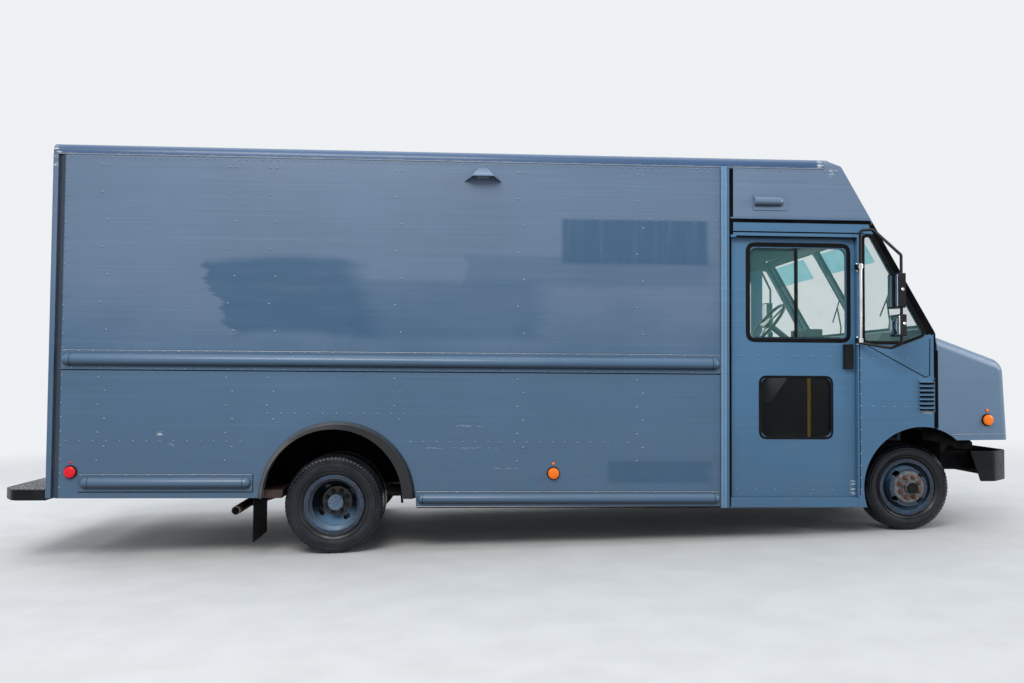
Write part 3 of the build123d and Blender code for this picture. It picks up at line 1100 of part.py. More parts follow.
WHEEL_RIM_R = 225.0
WHEEL_GRIP_R = 15.0
WHEEL_BOSS_R = 55.0
COLUMN_R = 28.0
COLUMN_LENGTH = 420.0
WHEEL_TILT = 52.0
WHEEL_CENTRE = (3900.0, DRIVER_Y, 1860.0)
with BuildPart() as steering_wheel:
    hub = Location(WHEEL_CENTRE, (0, -WHEEL_TILT, 0))
    with Locations(hub):
        Torus(WHEEL_RIM_R, WHEEL_GRIP_R)
        Cylinder(WHEEL_BOSS_R, 40)
        for turn in (90, 210, 330):
            with Locations(Location((0, 0, 0), (0, 0, turn))):
                Box(WHEEL_RIM_R, 34, 12, align=(Align.MIN, Align.CENTER, Align.CENTER))
        Cylinder(COLUMN_R, COLUMN_LENGTH, align=(Align.CENTER, Align.CENTER, Align.MAX))
    add(dashboard.part, mode=Mode.SUBTRACT)

# Driver's seat on its pedestal
SEAT_HALF = 215.0
PEDESTAL_HALF = 150.0
PEDESTAL_X = (3420.0, 3760.0)
CUSHION_X = (3330.0, 3810.0)
CUSHION_Z = (1330.0, 1440.0)
BACK_X = (3250.0, 3350.0)
BACK_TOP = 1990.0
with BuildPart() as driver_seat:
    block(PEDESTAL_X, (DRIVER_Y - PEDESTAL_HALF, DRIVER_Y + PEDESTAL_HALF), (FLOOR_TOP, CUSHION_Z[0]))
    block(CUSHION_X, (DRIVER_Y - SEAT_HALF, DRIVER_Y + SEAT_HALF), CUSHION_Z)
    block(BACK_X, (DRIVER_Y - SEAT_HALF, DRIVER_Y + SEAT_HALF), (CUSHION_Z[0], BACK_TOP))

# Grab rails inside each doorway
GRAB_X = (3768.0, 4008.0)
GRAB_TOP = 1400.0
GRAB_R = 13.0
with BuildPart() as grab_rails:
    for _, s in SIDES:
        with BuildLine() as route:
            y = s * (STEP_INNER + 40)
            FilletPolyline((GRAB_X[0], y, FLOOR_TOP), (GRAB_X[0], y, GRAB_TOP), (GRAB_X[1], y, GRAB_TOP),
                           (GRAB_X[1], y, FLOOR_TOP), radius=60)
        with BuildSketch(Plane(origin=route.line @ 0, z_dir=route.line % 0)):
            Circle(GRAB_R)
        sweep()

# Mirrors: a pole beside the door, arms, a flat head and a round-backed wide head under it
POLE_X = 3996.0
POLE_Y = HALF + 65.0
POLE_Z = (1600.0, 2480.0)
HEAD_Y = HALF + 235.0
ARM_X = 4235.0
ARM_R = 11.0
CLAMP_HALF = 18.0
CLAMPS = (1630.0, 2200.0)
HEADS = (((4170.0, 4228.0), (1867.0, 2127.0)), ((4186.0, 4232.0), (1656.0, 1819.0)))
HEAD_HALF = 85.0
HEAD_EDGE_R = 14.0
with BuildPart() as mirrors:
    for x, z in HEADS:
        for _, s in SIDES:
            block(x, across((s * (HEAD_Y - HEAD_HALF), s * (HEAD_Y + HEAD_HALF))), z)
    fillet(mirrors.edges().filter_by(Axis.X), HEAD_EDGE_R)
    for _, s in SIDES:
        with BuildLine() as route:
            FilletPolyline((POLE_X, s * POLE_Y, POLE_Z[0]), (POLE_X, s * POLE_Y, POLE_Z[1]),
                           (POLE_X + 84, s * (POLE_Y + 40), POLE_Z[1]), (ARM_X, s * HEAD_Y, POLE_Z[1] - 210),
                           (ARM_X, s * HEAD_Y, POLE_Z[0]), (ARM_X - 55, s * (HEAD_Y - 60), POLE_Z[0] - 30),
                           (POLE_X + 15, s * POLE_Y, POLE_Z[0] + 8), radius=24)
        with BuildSketch(Plane(origin=route.line @ 0, z_dir=route.line % 0)):
            Circle(ARM_R)
        sweep()
        for z in CLAMPS:
            block((POLE_X - CLAMP_HALF, POLE_X + CLAMP_HALF), across((s * HALF, s * POLE_Y)),
                  (z - CLAMP_HALF, z + CLAMP_HALF))

# Side lamps: round markers, the sheet scoop over the lamp under the roof rail and the half-round lamp over the door
LAMP_R = 41.0
LAMP_DEPTH = 22.0
ROUND_LAMPS = ((-1919.0, 613.0), (1636.0, 606.0))
SCOOP_X = (945.0, 1229.0)
SCOOP_Z = (2812.0, 2921.0)
SCOOP_WING = 110.0
SCOOP_LIP = (60.0, 26.0)
SCOOP_OUT = 100.0
SCOOP_SHEET = 4.0
BAR_PLATE = (3177.0, 3445.0, 2634.0, 2754.0, 5.0)
BAR_LAMP = (3184.0, 3413.0, 2701.0, 37.0)
with BuildPart() as side_lamps:
    for _, s in SIDES:
        with BuildSketch(side_plane(s * HALF)) as discs:
            with Locations(*ROUND_LAMPS):
                Circle(LAMP_R)
        extrude(discs.sketch, amount=-s * LAMP_DEPTH)
        x0, x1, z0, z1, thick = BAR_PLATE
        block((x0, x1), across((s * HALF, s * (HALF + thick))), (z0, z1))
        x0, x1, z, r = BAR_LAMP
        face = s * (HALF + thick)
        with Locations(((x0 + x1 - r) / 2, face, z)):
            Cylinder(r, x1 - r - x0, rotation=(0, 90, 0))
        with Locations((x1 - r, face, z)):
            Sphere(r)
        block((x0 - 1, x1 + 1), across((s * HALF, s * (HALF - r))), (z - r, z + r), mode=Mode.SUBTRACT)
    for _, s in SIDES:
        with BuildPart(mode=Mode.PRIVATE) as scoop:
            with BuildSketch(side_plane(s * HALF)) as foot:
                with BuildLine():
                    Polyline((SCOOP_X[0], SCOOP_Z[0]), (SCOOP_X[0] + SCOOP_WING, SCOOP_Z[1]),
                             (SCOOP_X[1] - SCOOP_WING, SCOOP_Z[1]), (SCOOP_X[1], SCOOP_Z[0]), close=True)
                make_face()
            with BuildSketch(side_plane(s * (HALF + SCOOP_OUT))) as lip:
                with BuildLine():
                    low = SCOOP_Z[0] + SCOOP_LIP[1]
                    Polyline((SCOOP_X[0] + SCOOP_LIP[0], low), (SCOOP_X[0] + SCOOP_LIP[0] + 8, low + 10),
                             (SCOOP_X[1] - SCOOP_LIP[0] - 8, low + 10), (SCOOP_X[1] - SCOOP_LIP[0], low), close=True)
                make_face()
            loft()
            mouth = scoop.faces().filter_by(lambda face: face.normal_at().Z < -0.5)
            wall_side = scoop.faces().filter_by(lambda face: s * face.normal_at().Y < -0.9)
            offset(amount=-SCOOP_SHEET, openings=mouth + wall_side)
        add(scoop.part)

TAIL_Y = HALF - 110.0
with BuildPart() as tail_lamps:
    with BuildSketch(Plane.YZ.offset(REAR_X)) as discs:
        with Locations((-TAIL_Y, 640), (TAIL_Y, 640), (-TAIL_Y, 780), (TAIL_Y, 780)):
            Circle(52)
        with Locations(*[(y, 2860) for y in (-TAIL_Y, -160, 0, 160, TAIL_Y)]):
            Circle(32)
    extrude(discs.sketch, amount=-18)

os.makedirs("parts", exist_ok=True)
road = {"rear_axle": rear_axle, "front_axle": front_axle, "tie_rod": tie_rod}
for name in knuckles:
    road[name + "_knuckle"] = knuckles[name]
for name in rims:
    road[name + "_rim"] = rims[name]
    road[name + "_tyre"] = tyres[name]
carried = {"frame_rails": frame_rails, "leaf_springs": leaf_springs, "cargo_floor": cargo_floor,
           "wheelhouses": wheelhouses, "right_side_wall": walls["right"], "left_side_wall": walls["left"],
           "wheel_flares": wheel_flares, "side_rails": side_rails, "roof_panel": roof_panel,
           "roof_rails": roof_rails, "rear_frame": rear_frame, "rear_roll_door": rear_roll_door,
           "door_frames": door_frames, "front_cap": front_cap, "windshield_frame": windshield_frame,
           "firewall": firewall, "cab_sides": cab_sides, "cab_glass": cab_glass, "cab_floor": cab_floor,
           "engine_cover": engine_cover, "cab_bulkhead": cab_bulkhead, "right_door": doors["right"],
           "left_door": doors["left"], "right_door_glass": door_glass["right"],
           "left_door_glass": door_glass["left"], "door_tracks": door_tracks, "hood": hood,
           "grille": grille, "headlamps": headlamps,
           "front_bumper": front_bumper, "rear_step_bumper": rear_step_bumper, "engine_block": engine_block,
           "drive_shaft": drive_shaft, "fuel_tank": fuel_tank, "exhaust_pipe": exhaust_pipe,
           "mud_flaps": mud_flaps, "dashboard": dashboard, "steering_wheel": steering_wheel,
           "driver_seat": driver_seat, "grab_rails": grab_rails, "mirrors": mirrors,
           "side_lamps": side_lamps, "tail_lamps": tail_lamps}
rake = Location((0, 0, 0), (0, RAKE, 0))
for piece in carried.values():
    piece.part.move(rake)
rear_end = rear_step_bumper.part.bounding_box().min.X
front_end = front_bumper.part.bounding_box().max.X
centred = Location((-(rear_end + front_end) / 2, 0, 0))
for name, piece in {**road, **carried}.items():
    piece.part.move(centred)
    piece.part.label = name
    export_step(piece.part, f"parts/{name}.step")
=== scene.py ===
import json
from math import cos, hypot, pi, radians, sin

import bmesh
import bpy
from mathutils import Matrix, Vector
from mathutils.bvhtree import BVHTree


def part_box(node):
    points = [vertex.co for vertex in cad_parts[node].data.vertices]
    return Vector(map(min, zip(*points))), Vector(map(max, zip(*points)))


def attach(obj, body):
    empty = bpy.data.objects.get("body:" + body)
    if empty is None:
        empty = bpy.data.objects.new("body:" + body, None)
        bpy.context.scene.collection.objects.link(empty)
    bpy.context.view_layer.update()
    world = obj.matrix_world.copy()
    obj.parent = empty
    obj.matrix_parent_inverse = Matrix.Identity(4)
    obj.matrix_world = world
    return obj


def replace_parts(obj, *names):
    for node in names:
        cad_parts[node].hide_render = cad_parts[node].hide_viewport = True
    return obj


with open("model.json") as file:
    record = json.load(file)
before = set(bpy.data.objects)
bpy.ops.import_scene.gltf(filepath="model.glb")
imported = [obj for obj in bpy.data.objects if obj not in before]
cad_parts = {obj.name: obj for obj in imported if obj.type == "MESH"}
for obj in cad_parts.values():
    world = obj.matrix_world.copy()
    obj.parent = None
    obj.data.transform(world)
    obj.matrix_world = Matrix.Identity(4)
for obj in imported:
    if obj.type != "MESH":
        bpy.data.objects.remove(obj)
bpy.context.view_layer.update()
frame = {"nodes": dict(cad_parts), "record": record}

NODES = frame["nodes"]
BODIES = frame["record"]["behaviour"]["bodies"]
BODY_OF = {node: body for body, members in BODIES.items() for node in members}
SLOT_OF = {entry["node"]: entry["material_slot"] for entry in frame["record"]["subparts"]}
SIDES = (("right", -1), ("left", 1))

# The body's level drawing has its origin on the road under the rear axle, with X forward and Z up. The body
# rides nose down at this rake, so a place in that drawing goes through BODY, and a wheel's through ROAD.
RAKE = radians(1.65)


def middle(node):
    low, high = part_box(node)
    return (low + high) / 2


def placed(name, data):
    """A new object in the scene."""
    made = bpy.data.objects.new(name, data)
    bpy.context.scene.collection.objects.link(made)
    return made


REAR_HUB = middle("rear_right_rim")
FRONT_HUB = middle("front_right_rim")
AXLES = {"rear": REAR_HUB, "front": FRONT_HUB}
ROAD = Matrix.Translation((REAR_HUB.x, 0, 0))
BODY = ROAD @ Matrix.Rotation(RAKE, 4, "Y")

# Camera: as far back, as high and as turned as the photograph was taken, in metres from the rear axle
CAMERA_AT = (0.9388, -8.2044, 1.3258)
CAMERA_YAW = 0.0605
CAMERA_PITCH = 0.0336
CAMERA_ROLL = -0.0217
FOCAL_SHARE = 924.09 / 1024
SENSOR_MM = 36
FAR_CLIP = 200


def add_camera():
    data = bpy.data.cameras.new("camera")
    data.sensor_width = SENSOR_MM
    data.lens = SENSOR_MM * FOCAL_SHARE
    data.clip_end = FAR_CLIP
    camera = placed("camera", data)
    turn = Matrix.Rotation(-CAMERA_YAW, 4, "Z") @ Matrix.Rotation(pi / 2 + CAMERA_PITCH, 4, "X")
    roll = Matrix.Rotation(CAMERA_ROLL, 4, "Z")
    camera.matrix_world = ROAD @ Matrix.Translation(CAMERA_AT) @ turn @ roll
    bpy.context.scene.camera = camera


add_camera()


# Materials
def rgb(red, green, blue):
    """A colour given as it looks on a screen, 0 to 255."""
    linear = []
    for part in (red, green, blue):
        part /= 255
        linear.append(part / 12.92 if part <= 0.04045 else ((part + 0.055) / 1.055) ** 2.4)
    return (*linear, 1)


def toned(colour, factor, lift=0.0):
    """A colour lightened or darkened as a whole."""
    return [min(1, part * factor + lift) for part in colour[:3]] + [1]


def add_node(tree, kind, inputs=(), out=0, **settings):
    """Adds a shader node, links or sets its inputs by name or number, and returns one of its outputs."""
    made = tree.nodes.new("ShaderNode" + kind)
    for name, value in settings.items():
        setattr(made, name, value)
    for name, value in dict(inputs).items():
        put(tree, made.inputs[name], value)
    return made.outputs[out]


def put(tree, socket, value):
    """Links a socket to another's output, or sets its value."""
    if isinstance(value, bpy.types.NodeSocket):
        tree.links.new(value, socket)
    else:
        socket.default_value = value


class Finish:
    """A procedural material in the level drawing's metres, with short names for its nodes."""

    def __init__(self, name, specular=0.5, coat_roughness=0.1, **shader):
        self.material = bpy.data.materials.new(name)
        self.material.use_nodes = True
        self.tree = self.material.node_tree
        self.shader = self.tree.nodes["Principled BSDF"]
        self.set("Specular IOR Level", specular)
        self.set("Coat Roughness", coat_roughness)
        for socket, value in shader.items():
            self.set(socket.replace("_", " ").title(), value)
        place = self.node("TexCoord", out="Object")
        level = {"Rotation": (0, -RAKE, 0), "Location": BODY.inverted().translation, "Vector": place}
        self.place = self.node("Mapping", level)

    def node(self, *kind, **settings):
        return add_node(self.tree, *kind, **settings)

    def set(self, name, value):
        put(self.tree, self.shader.inputs[name], value)

    def stretched(self, scale):
        return self.node("Mapping", {"Vector": self.place, "Scale": scale})

    def noise(self, scale, detail=4.0, roughness=0.55, stretch=(1, 1, 1)):
        inputs = {"Vector": self.stretched(stretch), "Scale": scale, "Detail": detail, "Roughness": roughness}
        return self.node("TexNoise", inputs, "Fac")

    def cells(self, scale):
        inputs = {"Vector": self.stretched((1, 1, 1)), "Scale": scale}
        return self.node("TexVoronoi", inputs, "Distance")

    def math(self, operation, *values, clamp=False):
        return self.node("Math", enumerate(values), operation=operation, use_clamp=clamp)

    def scaled(self, value, factor, offset):
        return self.math("MULTIPLY_ADD", value, factor, offset)

    def between(self, value, low, high):
        """0 below low, 1 above high, and smooth between. With low above high it falls."""
        inputs = {"Value": value, "From Min": min(low, high), "From Max": max(low, high),
                  "To Min": float(low > high), "To Max": float(low <= high)}
        return self.node("MapRange", inputs, "Result", interpolation_type="SMOOTHSTEP")

    def patchy(self, low, high, *noise, stretch=(1, 1, 1)):
        """Noise turned into patches: 0 below low and 1 above high."""
        return self.between(self.noise(*noise, stretch=stretch), low, high)

    def mix(self, share, a, b, blend="MIX"):
        return self.node("Mix", {0: share, 6: a, 7: b}, 2, data_type="RGBA", blend_type=blend)

    def over(self, look, tone, *shares, blend="MIX"):
        """Lays a tone over a look, as strongly as the product of the shares."""
        return self.mix(self.times(*shares), look, tone, blend)

    def axes(self):
        return self.node("SeparateXYZ", {0: self.place}).node.outputs[:]

    def normal(self):
        return self.node("NewGeometry", out="Normal")

    def upward(self):
        """How far a face looks up: 1 for a top, 0 for a wall and -1 for an underside."""
        return self.node("SeparateXYZ", {0: self.normal()}, 2)

    def times(self, *values):
        result = values[0]
        for value in values[1:]:
            result = self.math("MULTIPLY", result, value)
        return result

    def within(self, value, low, high, soft):
        """1 between two levels, with soft edges."""
        rising = self.between(value, low - soft, low + soft)
        return self.times(rising, self.between(value, high + soft, high - soft))

    def edges(self, radius=0.004):
        """1 on sharp edges, 0 on faces."""
        normals = {0: self.node("Bevel", {"Radius": radius}, samples=4), 1: self.normal()}
        dot = self.node("VectorMath", normals, "Value", operation="DOT_PRODUCT")
        return self.between(self.math("SUBTRACT", 1.0, dot), 0.02, 0.25)

    def corners(self, distance):
        """1 in hollows and seams, 0 on open faces."""
        shade = self.node("AmbientOcclusion", {"Distance": distance}, "AO", samples=4)
        return self.math("SUBTRACT", 1.0, shade, clamp=True)

    def bump(self, height, distance, strength, **below):
        inputs = {"Height": height, "Distance": distance, "Strength": strength, **below}
        return self.node("Bump", inputs)

    def done(self, look, rough, normal=None):
        """Sets the colour, the roughness and the bumps, and returns the material."""
        self.set("Base Color", look)
        self.set("Roughness", rough)
        if normal is not None:
            self.set("Normal", normal)
        return self.material


# Tones of weather and wear, and of painted light and shade: the first three multiply the paint
CLOUD = (0.84, 0.84, 0.84, 1)
LIGHT_STREAK = (1.25, 1.22, 1.18, 1)
DARK_STREAK = (0.78, 0.80, 0.84, 1)
ROAD_DUST = rgb(96, 98, 98)
SPECK = rgb(168, 176, 182)
WORN_EDGE = rgb(196, 198, 196)
# Dust on upward faces, and a painted highlight there
TOP_DUST_AND_HIGHLIGHT = rgb(160, 172, 182)
# Painted shade on undersides
UNDERSIDE_SHADE = rgb(16, 24, 34)
# Grime and painted shade in hollows and seams
SEAM_GRIME_AND_SHADE = rgb(18, 24, 32)
CHASSIS_DUST = rgb(122, 116, 106)
RUST_TONES = (rgb(84, 46, 26), rgb(132, 78, 44))
GLASS_DUST = rgb(190, 192, 190)


def repainted(mat, look, x, z, low, high, tone, strength, ragged, slant):
    """Lays one repainted patch over a look, brushed and with ragged ends."""
    rows = mat.scaled(mat.noise(1.0, 3, 0.7, stretch=(0.3, 1, 9)), ragged, -0.5 * ragged)
    waver = mat.scaled(mat.noise(1.4, 3, 0.6, stretch=(1, 1, 0.2)), ragged * 0.4, -0.2 * ragged)
    lean = mat.times(mat.math("SUBTRACT", z, low[1]), slant)
    along = mat.math("ADD", mat.math("ADD", x, rows), lean)
    soft = 0.02 + ragged * 0.3
    inside = mat.times(mat.between(along, low[0] - 0.02, low[0] + 0.03),
                       mat.between(along, high[0] + soft, high[0] - soft),
                       mat.within(mat.math("ADD", z, waver), low[1], high[1], 0.015 + ragged * 0.08))
    strokes = (3.5, 1, 0.25) if ragged < 0.1 else (0.3, 1, 2.5)
    brushed = mat.patchy(0.15, 0.60, 6.0, 4, 0.65, stretch=strokes)
    return mat.over(look, tone, inside, mat.scaled(brushed, 0.35, 0.65), strength)


def paint(name, colour, low_tone=None, fade=(1.3, 2.7), gloss=0.32, dirt=0.3, wear=0.35, patches=(),
          marks=()):
    """Old brushed coach paint: streaks along the panels, dust low down, scuffed edges, repaints, and painted
    light and shade.
    """
    mat = Finish(name, coat_weight=0.2, specular=0.42)
    x, _, z = mat.axes()
    base = colour
    if low_tone:
        drift = mat.math("ADD", z, mat.scaled(mat.noise(1.3, 4, 0.6), 0.9, 0.5))
        base = mat.mix(mat.between(drift, *fade), low_tone, colour)
    look = mat.over(base, CLOUD, mat.patchy(0.32, 0.68, 0.9, 5, 0.6), 0.55, blend="MULTIPLY")
    streaks = mat.noise(3.0, 5, 0.65, stretch=(0.25, 1, 26))
    for low, high, tone in ((0.5, 0.74, LIGHT_STREAK), (0.47, 0.24, DARK_STREAK)):
        look = mat.over(look, tone, mat.between(streaks, low, high), 0.6, blend="MULTIPLY")
    for patch in patches:
        look = repainted(mat, look, x, z, *patch)
    low_down = mat.between(z, 1.15, 0.35)
    look = mat.over(look, ROAD_DUST, mat.patchy(0.35, 0.75, 5, 6, 0.7), low_down, dirt)
    look = mat.over(look, SPECK, mat.patchy(0.72, 0.80, 55, 2, 0.5), 0.25)
    for low, high, tone in marks:
        broken = mat.patchy(0.48, 0.60, 38, 4, 0.75, stretch=(0.35, 1, 1.6))
        level = mat.within(z, low[1], high[1], 0.008)
        look = mat.over(look, tone, mat.within(x, low[0], high[0], 0.012), level, broken)
    look = mat.over(look, WORN_EDGE, mat.edges(), mat.patchy(0.45, 0.62, 14, 4, 0.7), wear)
    # Painted highlight and dust on upward faces, painted shade on undersides, painted shade and grime in
    # seams
    up = mat.upward()
    look = mat.over(look, TOP_DUST_AND_HIGHLIGHT, mat.between(up, 0.2, 0.9), 0.12)
    look = mat.over(look, UNDERSIDE_SHADE, mat.between(up, 0.0, -0.8), 0.75)
    look = mat.over(look, SEAM_GRIME_AND_SHADE, mat.corners(0.012), 0.7)
    rough = mat.scaled(mat.noise(7, 4, 0.6, stretch=(1, 1, 3)), 0.22, gloss - 0.08)
    waves = mat.bump(mat.noise(1.6, 2, 0.4), 0.012, 0.25)
    return mat.done(look, rough, mat.bump(streaks, 0.0006, 0.25, Normal=waves))


def rim_paint(name, hub, worn_radius, disc, lip):
    """Wheel paint: painted shade from the disc to the lip, on undersides and in hollows, a painted highlight
    on upward faces, brake dust, worn round the hub, chipped on edges.
    """
    mat = Finish(name, coat_weight=0.2, coat_roughness=0.12, specular=0.4)
    x, y, z = mat.axes()
    hub = BODY.inverted() @ hub
    offset = {0: mat.math("SUBTRACT", x, hub.x), 1: mat.math("SUBTRACT", z, hub.z)}
    gap = mat.node("CombineXYZ", offset)
    away = mat.node("VectorMath", {0: gap}, "Value", operation="LENGTH")
    look = mat.mix(mat.patchy(0.35, 0.7, 7, 5), rgb(22, 40, 62), rgb(38, 66, 95))
    # Painted shade deep in the dish, from the disc to the lip
    look = mat.over(look, rgb(11, 18, 29), mat.between(mat.math("ABSOLUTE", y), lip, disc), 0.9)
    # Painted highlight on upward faces and painted shade on downward ones
    up = mat.upward()
    look = mat.over(look, rgb(112, 152, 182), mat.between(up, 0.15, 0.9), 0.8)
    look = mat.over(look, rgb(9, 15, 24), mat.between(up, -0.1, -0.9), 0.8)
    look = mat.over(look, rgb(78, 78, 76), mat.patchy(0.42, 0.72, 16, 6, 0.7), 0.2)
    ragged = mat.scaled(mat.noise(40, 4, 0.7), 0.02, -0.01)
    radius = mat.math("ADD", away, ragged)
    bare = mat.mix(mat.patchy(0.4, 0.62, 30, 5, 0.7), rgb(128, 136, 140), rgb(96, 74, 58))
    look = mat.over(look, bare, mat.between(radius, worn_radius + 0.006, worn_radius - 0.006), 0.85)
    look = mat.over(look, rgb(176, 168, 150), mat.edges(0.005), mat.patchy(0.40, 0.55, 26, 4, 0.7))
    # Painted shade in hollows
    look = mat.over(look, rgb(16, 20, 26), mat.corners(0.02), 0.6)
    rough = mat.scaled(mat.noise(18, 4), 0.3, 0.22)
    return mat.done(look, rough, mat.bump(mat.noise(60, 4), 0.0006, 0.4))


def metal(name, colour, rust=0.0, gloss=0.55, metallic=0.0, dust=0.5, shine=0.5, glow=0.0):
    """Chassis paint or bare steel under road dust, with rust and a painted glow where they are asked for."""
    mat = Finish(name, metallic=metallic, specular=shine, emission_color=colour, emission_strength=glow)
    look = mat.mix(mat.patchy(0.35, 0.7, 6, 5), colour, toned(colour, 1.5, 0.003))
    look = mat.over(look, CHASSIS_DUST, mat.patchy(0.42, 0.75, 4, 6, 0.7), dust)
    if rust:
        spots = mat.patchy(0.62 - 0.2 * rust, 0.74 - 0.1 * rust, 22, 6, 0.75)
        look = mat.over(look, mat.mix(mat.noise(60, 3), *RUST_TONES), spots, min(1, rust * 1.4))
    rough = mat.scaled(mat.noise(12, 4), 0.3, gloss - 0.1)
    return mat.done(look, rough, mat.bump(mat.noise(90, 3), 0.0008, 0.5))


def moulded(name, colour, gloss=0.45, grain=220, shine=0.5):
    """Grained plastic, vinyl or rubber."""
    mat = Finish(name, specular=shine)
    look = mat.mix(mat.patchy(0.35, 0.7, 8, 4), colour, toned(colour, 1.35, 0.002))
    rough = mat.scaled(mat.noise(20, 3), 0.2, gloss - 0.1)
    return mat.done(look, rough, mat.bump(mat.cells(grain), 0.0004, 0.6))


def tyre_rubber():
    """Tyre rubber with road dust in its grooves and a greyer tread."""
    mat = Finish("tyre_rubber", specular=0.36)
    dust = mat.patchy(0.40, 0.75, 9, 6, 0.7)
    look = mat.over(rgb(16, 20, 27), rgb(54, 60, 70), dust, 0.4)
    look = mat.over(look, rgb(70, 68, 64), mat.corners(0.02), 0.3)
    return mat.done(look, mat.scaled(dust, 0.25, 0.29), mat.bump(mat.noise(150, 3), 0.0004, 0.3))


def clear_glass(name, tint, body, dirt=0.25, shine=0.5):
    """Tinted safety glass, with a little dust."""
    mat = Finish(name, roughness=0.03, specular=shine)
    dust = mat.times(mat.patchy(0.5, 0.85, 5, 6, 0.7), dirt)
    mat.set("Base Color", mat.mix(dust, tint, GLASS_DUST))
    mat.set("Alpha", mat.math("ADD", mat.times(dust, 0.3), body, clamp=True))
    return mat.material


def visor_tint():
    """Clear coloured plastic, which light goes straight through."""
    mat = Finish("visor_tint", specular=0.2, transmission_weight=1.0)
    mat.set("IOR", 1.0)
    look = mat.mix(mat.patchy(0.3, 0.7, 6, 3), rgb(170, 222, 230), rgb(150, 210, 222))
    return mat.done(look, 0.05)


def lens(name, colour):
    """A coloured lens with fine prisms, lit a little from within."""
    mat = Finish(name, coat_weight=0.25, specular=0.3, emission_color=colour, emission_strength=0.3)
    ribs = mat.cells(160)
    look = mat.mix(mat.between(ribs, 0.1, 0.6), colour, toned(colour, 0.72))
    return mat.done(look, 0.3, mat.bump(ribs, 0.0008, 0.5))


def bright_metal(name, colour, roughness, smear):
    """Chrome or polished aluminium, dulled in places."""
    mat = Finish(name, metallic=1.0)
    look = mat.mix(mat.patchy(0.4, 0.75, 5, 4), colour, toned(colour, 0.75))
    return mat.done(look, mat.scaled(mat.noise(6, 3), smear, roughness))


BODY_BLUE = rgb(99, 121, 147)
LOW_BLUE = rgb(77, 108, 137)
CAB_BLUE = rgb(75, 121, 157)
CAB_LOW_BLUE = rgb(67, 111, 145)
PATCH_BLUE = rgb(45, 86, 119)
SCUFF_WHITE = rgb(214, 216, 212)
BARE_GREY = rgb(150, 154, 158)

# Repainted patches, in metres of the level drawing: low corner, high corner, tone, strength, how ragged
# the ends are, and how far they lean back as they rise
PATCHES = (
    ((-0.80, 1.64), (0.30, 2.20), PATCH_BLUE, 0.86, 0.36, 0.33),
    ((1.69, 2.20), (2.82, 2.54), PATCH_BLUE, 0.88, 0.03, 0.0),
    ((2.05, 0.53), (2.85, 0.70), PATCH_BLUE, 0.75, 0.05, 0.0),
    ((0.10, 1.62), (1.55, 2.06), PATCH_BLUE, 0.50, 0.36, 0.0),
    ((0.95, 2.02), (2.86, 2.26), PATCH_BLUE, 0.34, 0.30, 0.0),
)
# Scratches and scuffs: low corner, high corner and tone
MARKS = (
    ((0.900, 0.955), (1.115, 0.962), SCUFF_WHITE),
    ((0.676, 0.790), (1.230, 0.797), BARE_GREY),
    ((-1.300, 0.882), (-1.262, 0.906), SCUFF_WHITE),
    ((-1.215, 0.807), (-1.185, 0.828), SCUFF_WHITE),
    ((1.180, 0.640), (1.420, 0.646), BARE_GREY),
    ((-2.100, 2.868), (-2.052, 2.892), SCUFF_WHITE),
    ((-2.100, 2.925), (-2.052, 2.962), SCUFF_WHITE),
)
CAB_MARKS = (
    ((4.482, 1.064), (4.606, 1.090), SCUFF_WHITE),
    ((4.490, 1.068), (4.600, 1.086), SCUFF_WHITE),
    ((3.955, 0.440), (3.992, 0.545), SCUFF_WHITE),
    ((4.010, 0.445), (4.060, 0.470), BARE_GREY),
)
EDGE_MARKS = (
    ((3.690, 2.970), (3.742, 3.035), SCUFF_WHITE),
    ((-2.095, 2.966), (-2.035, 3.030), SCUFF_WHITE),
    ((-2.095, 2.966), (3.742, 2.972), BARE_GREY),
)
CAP_MARKS = (
    ((3.785, 2.905), (3.815, 2.965), SCUFF_WHITE),
    ((3.815, 2.945), (3.850, 2.962), SCUFF_WHITE),
    ((3.930, 2.565), (4.010, 2.574), BARE_GREY),
)
# Greyed patches on the flare's upper left: weathering, and a painted highlight there
FLARE_WEAR_AND_HIGHLIGHT = (
    ((-0.66, 0.42), (-0.28, 0.92), rgb(112, 106, 101), 0.75, 0.3, 0.0),
    ((-0.25, 0.88), (0.02, 1.02), rgb(78, 76, 78), 0.45, 0.3, 0.0),
)
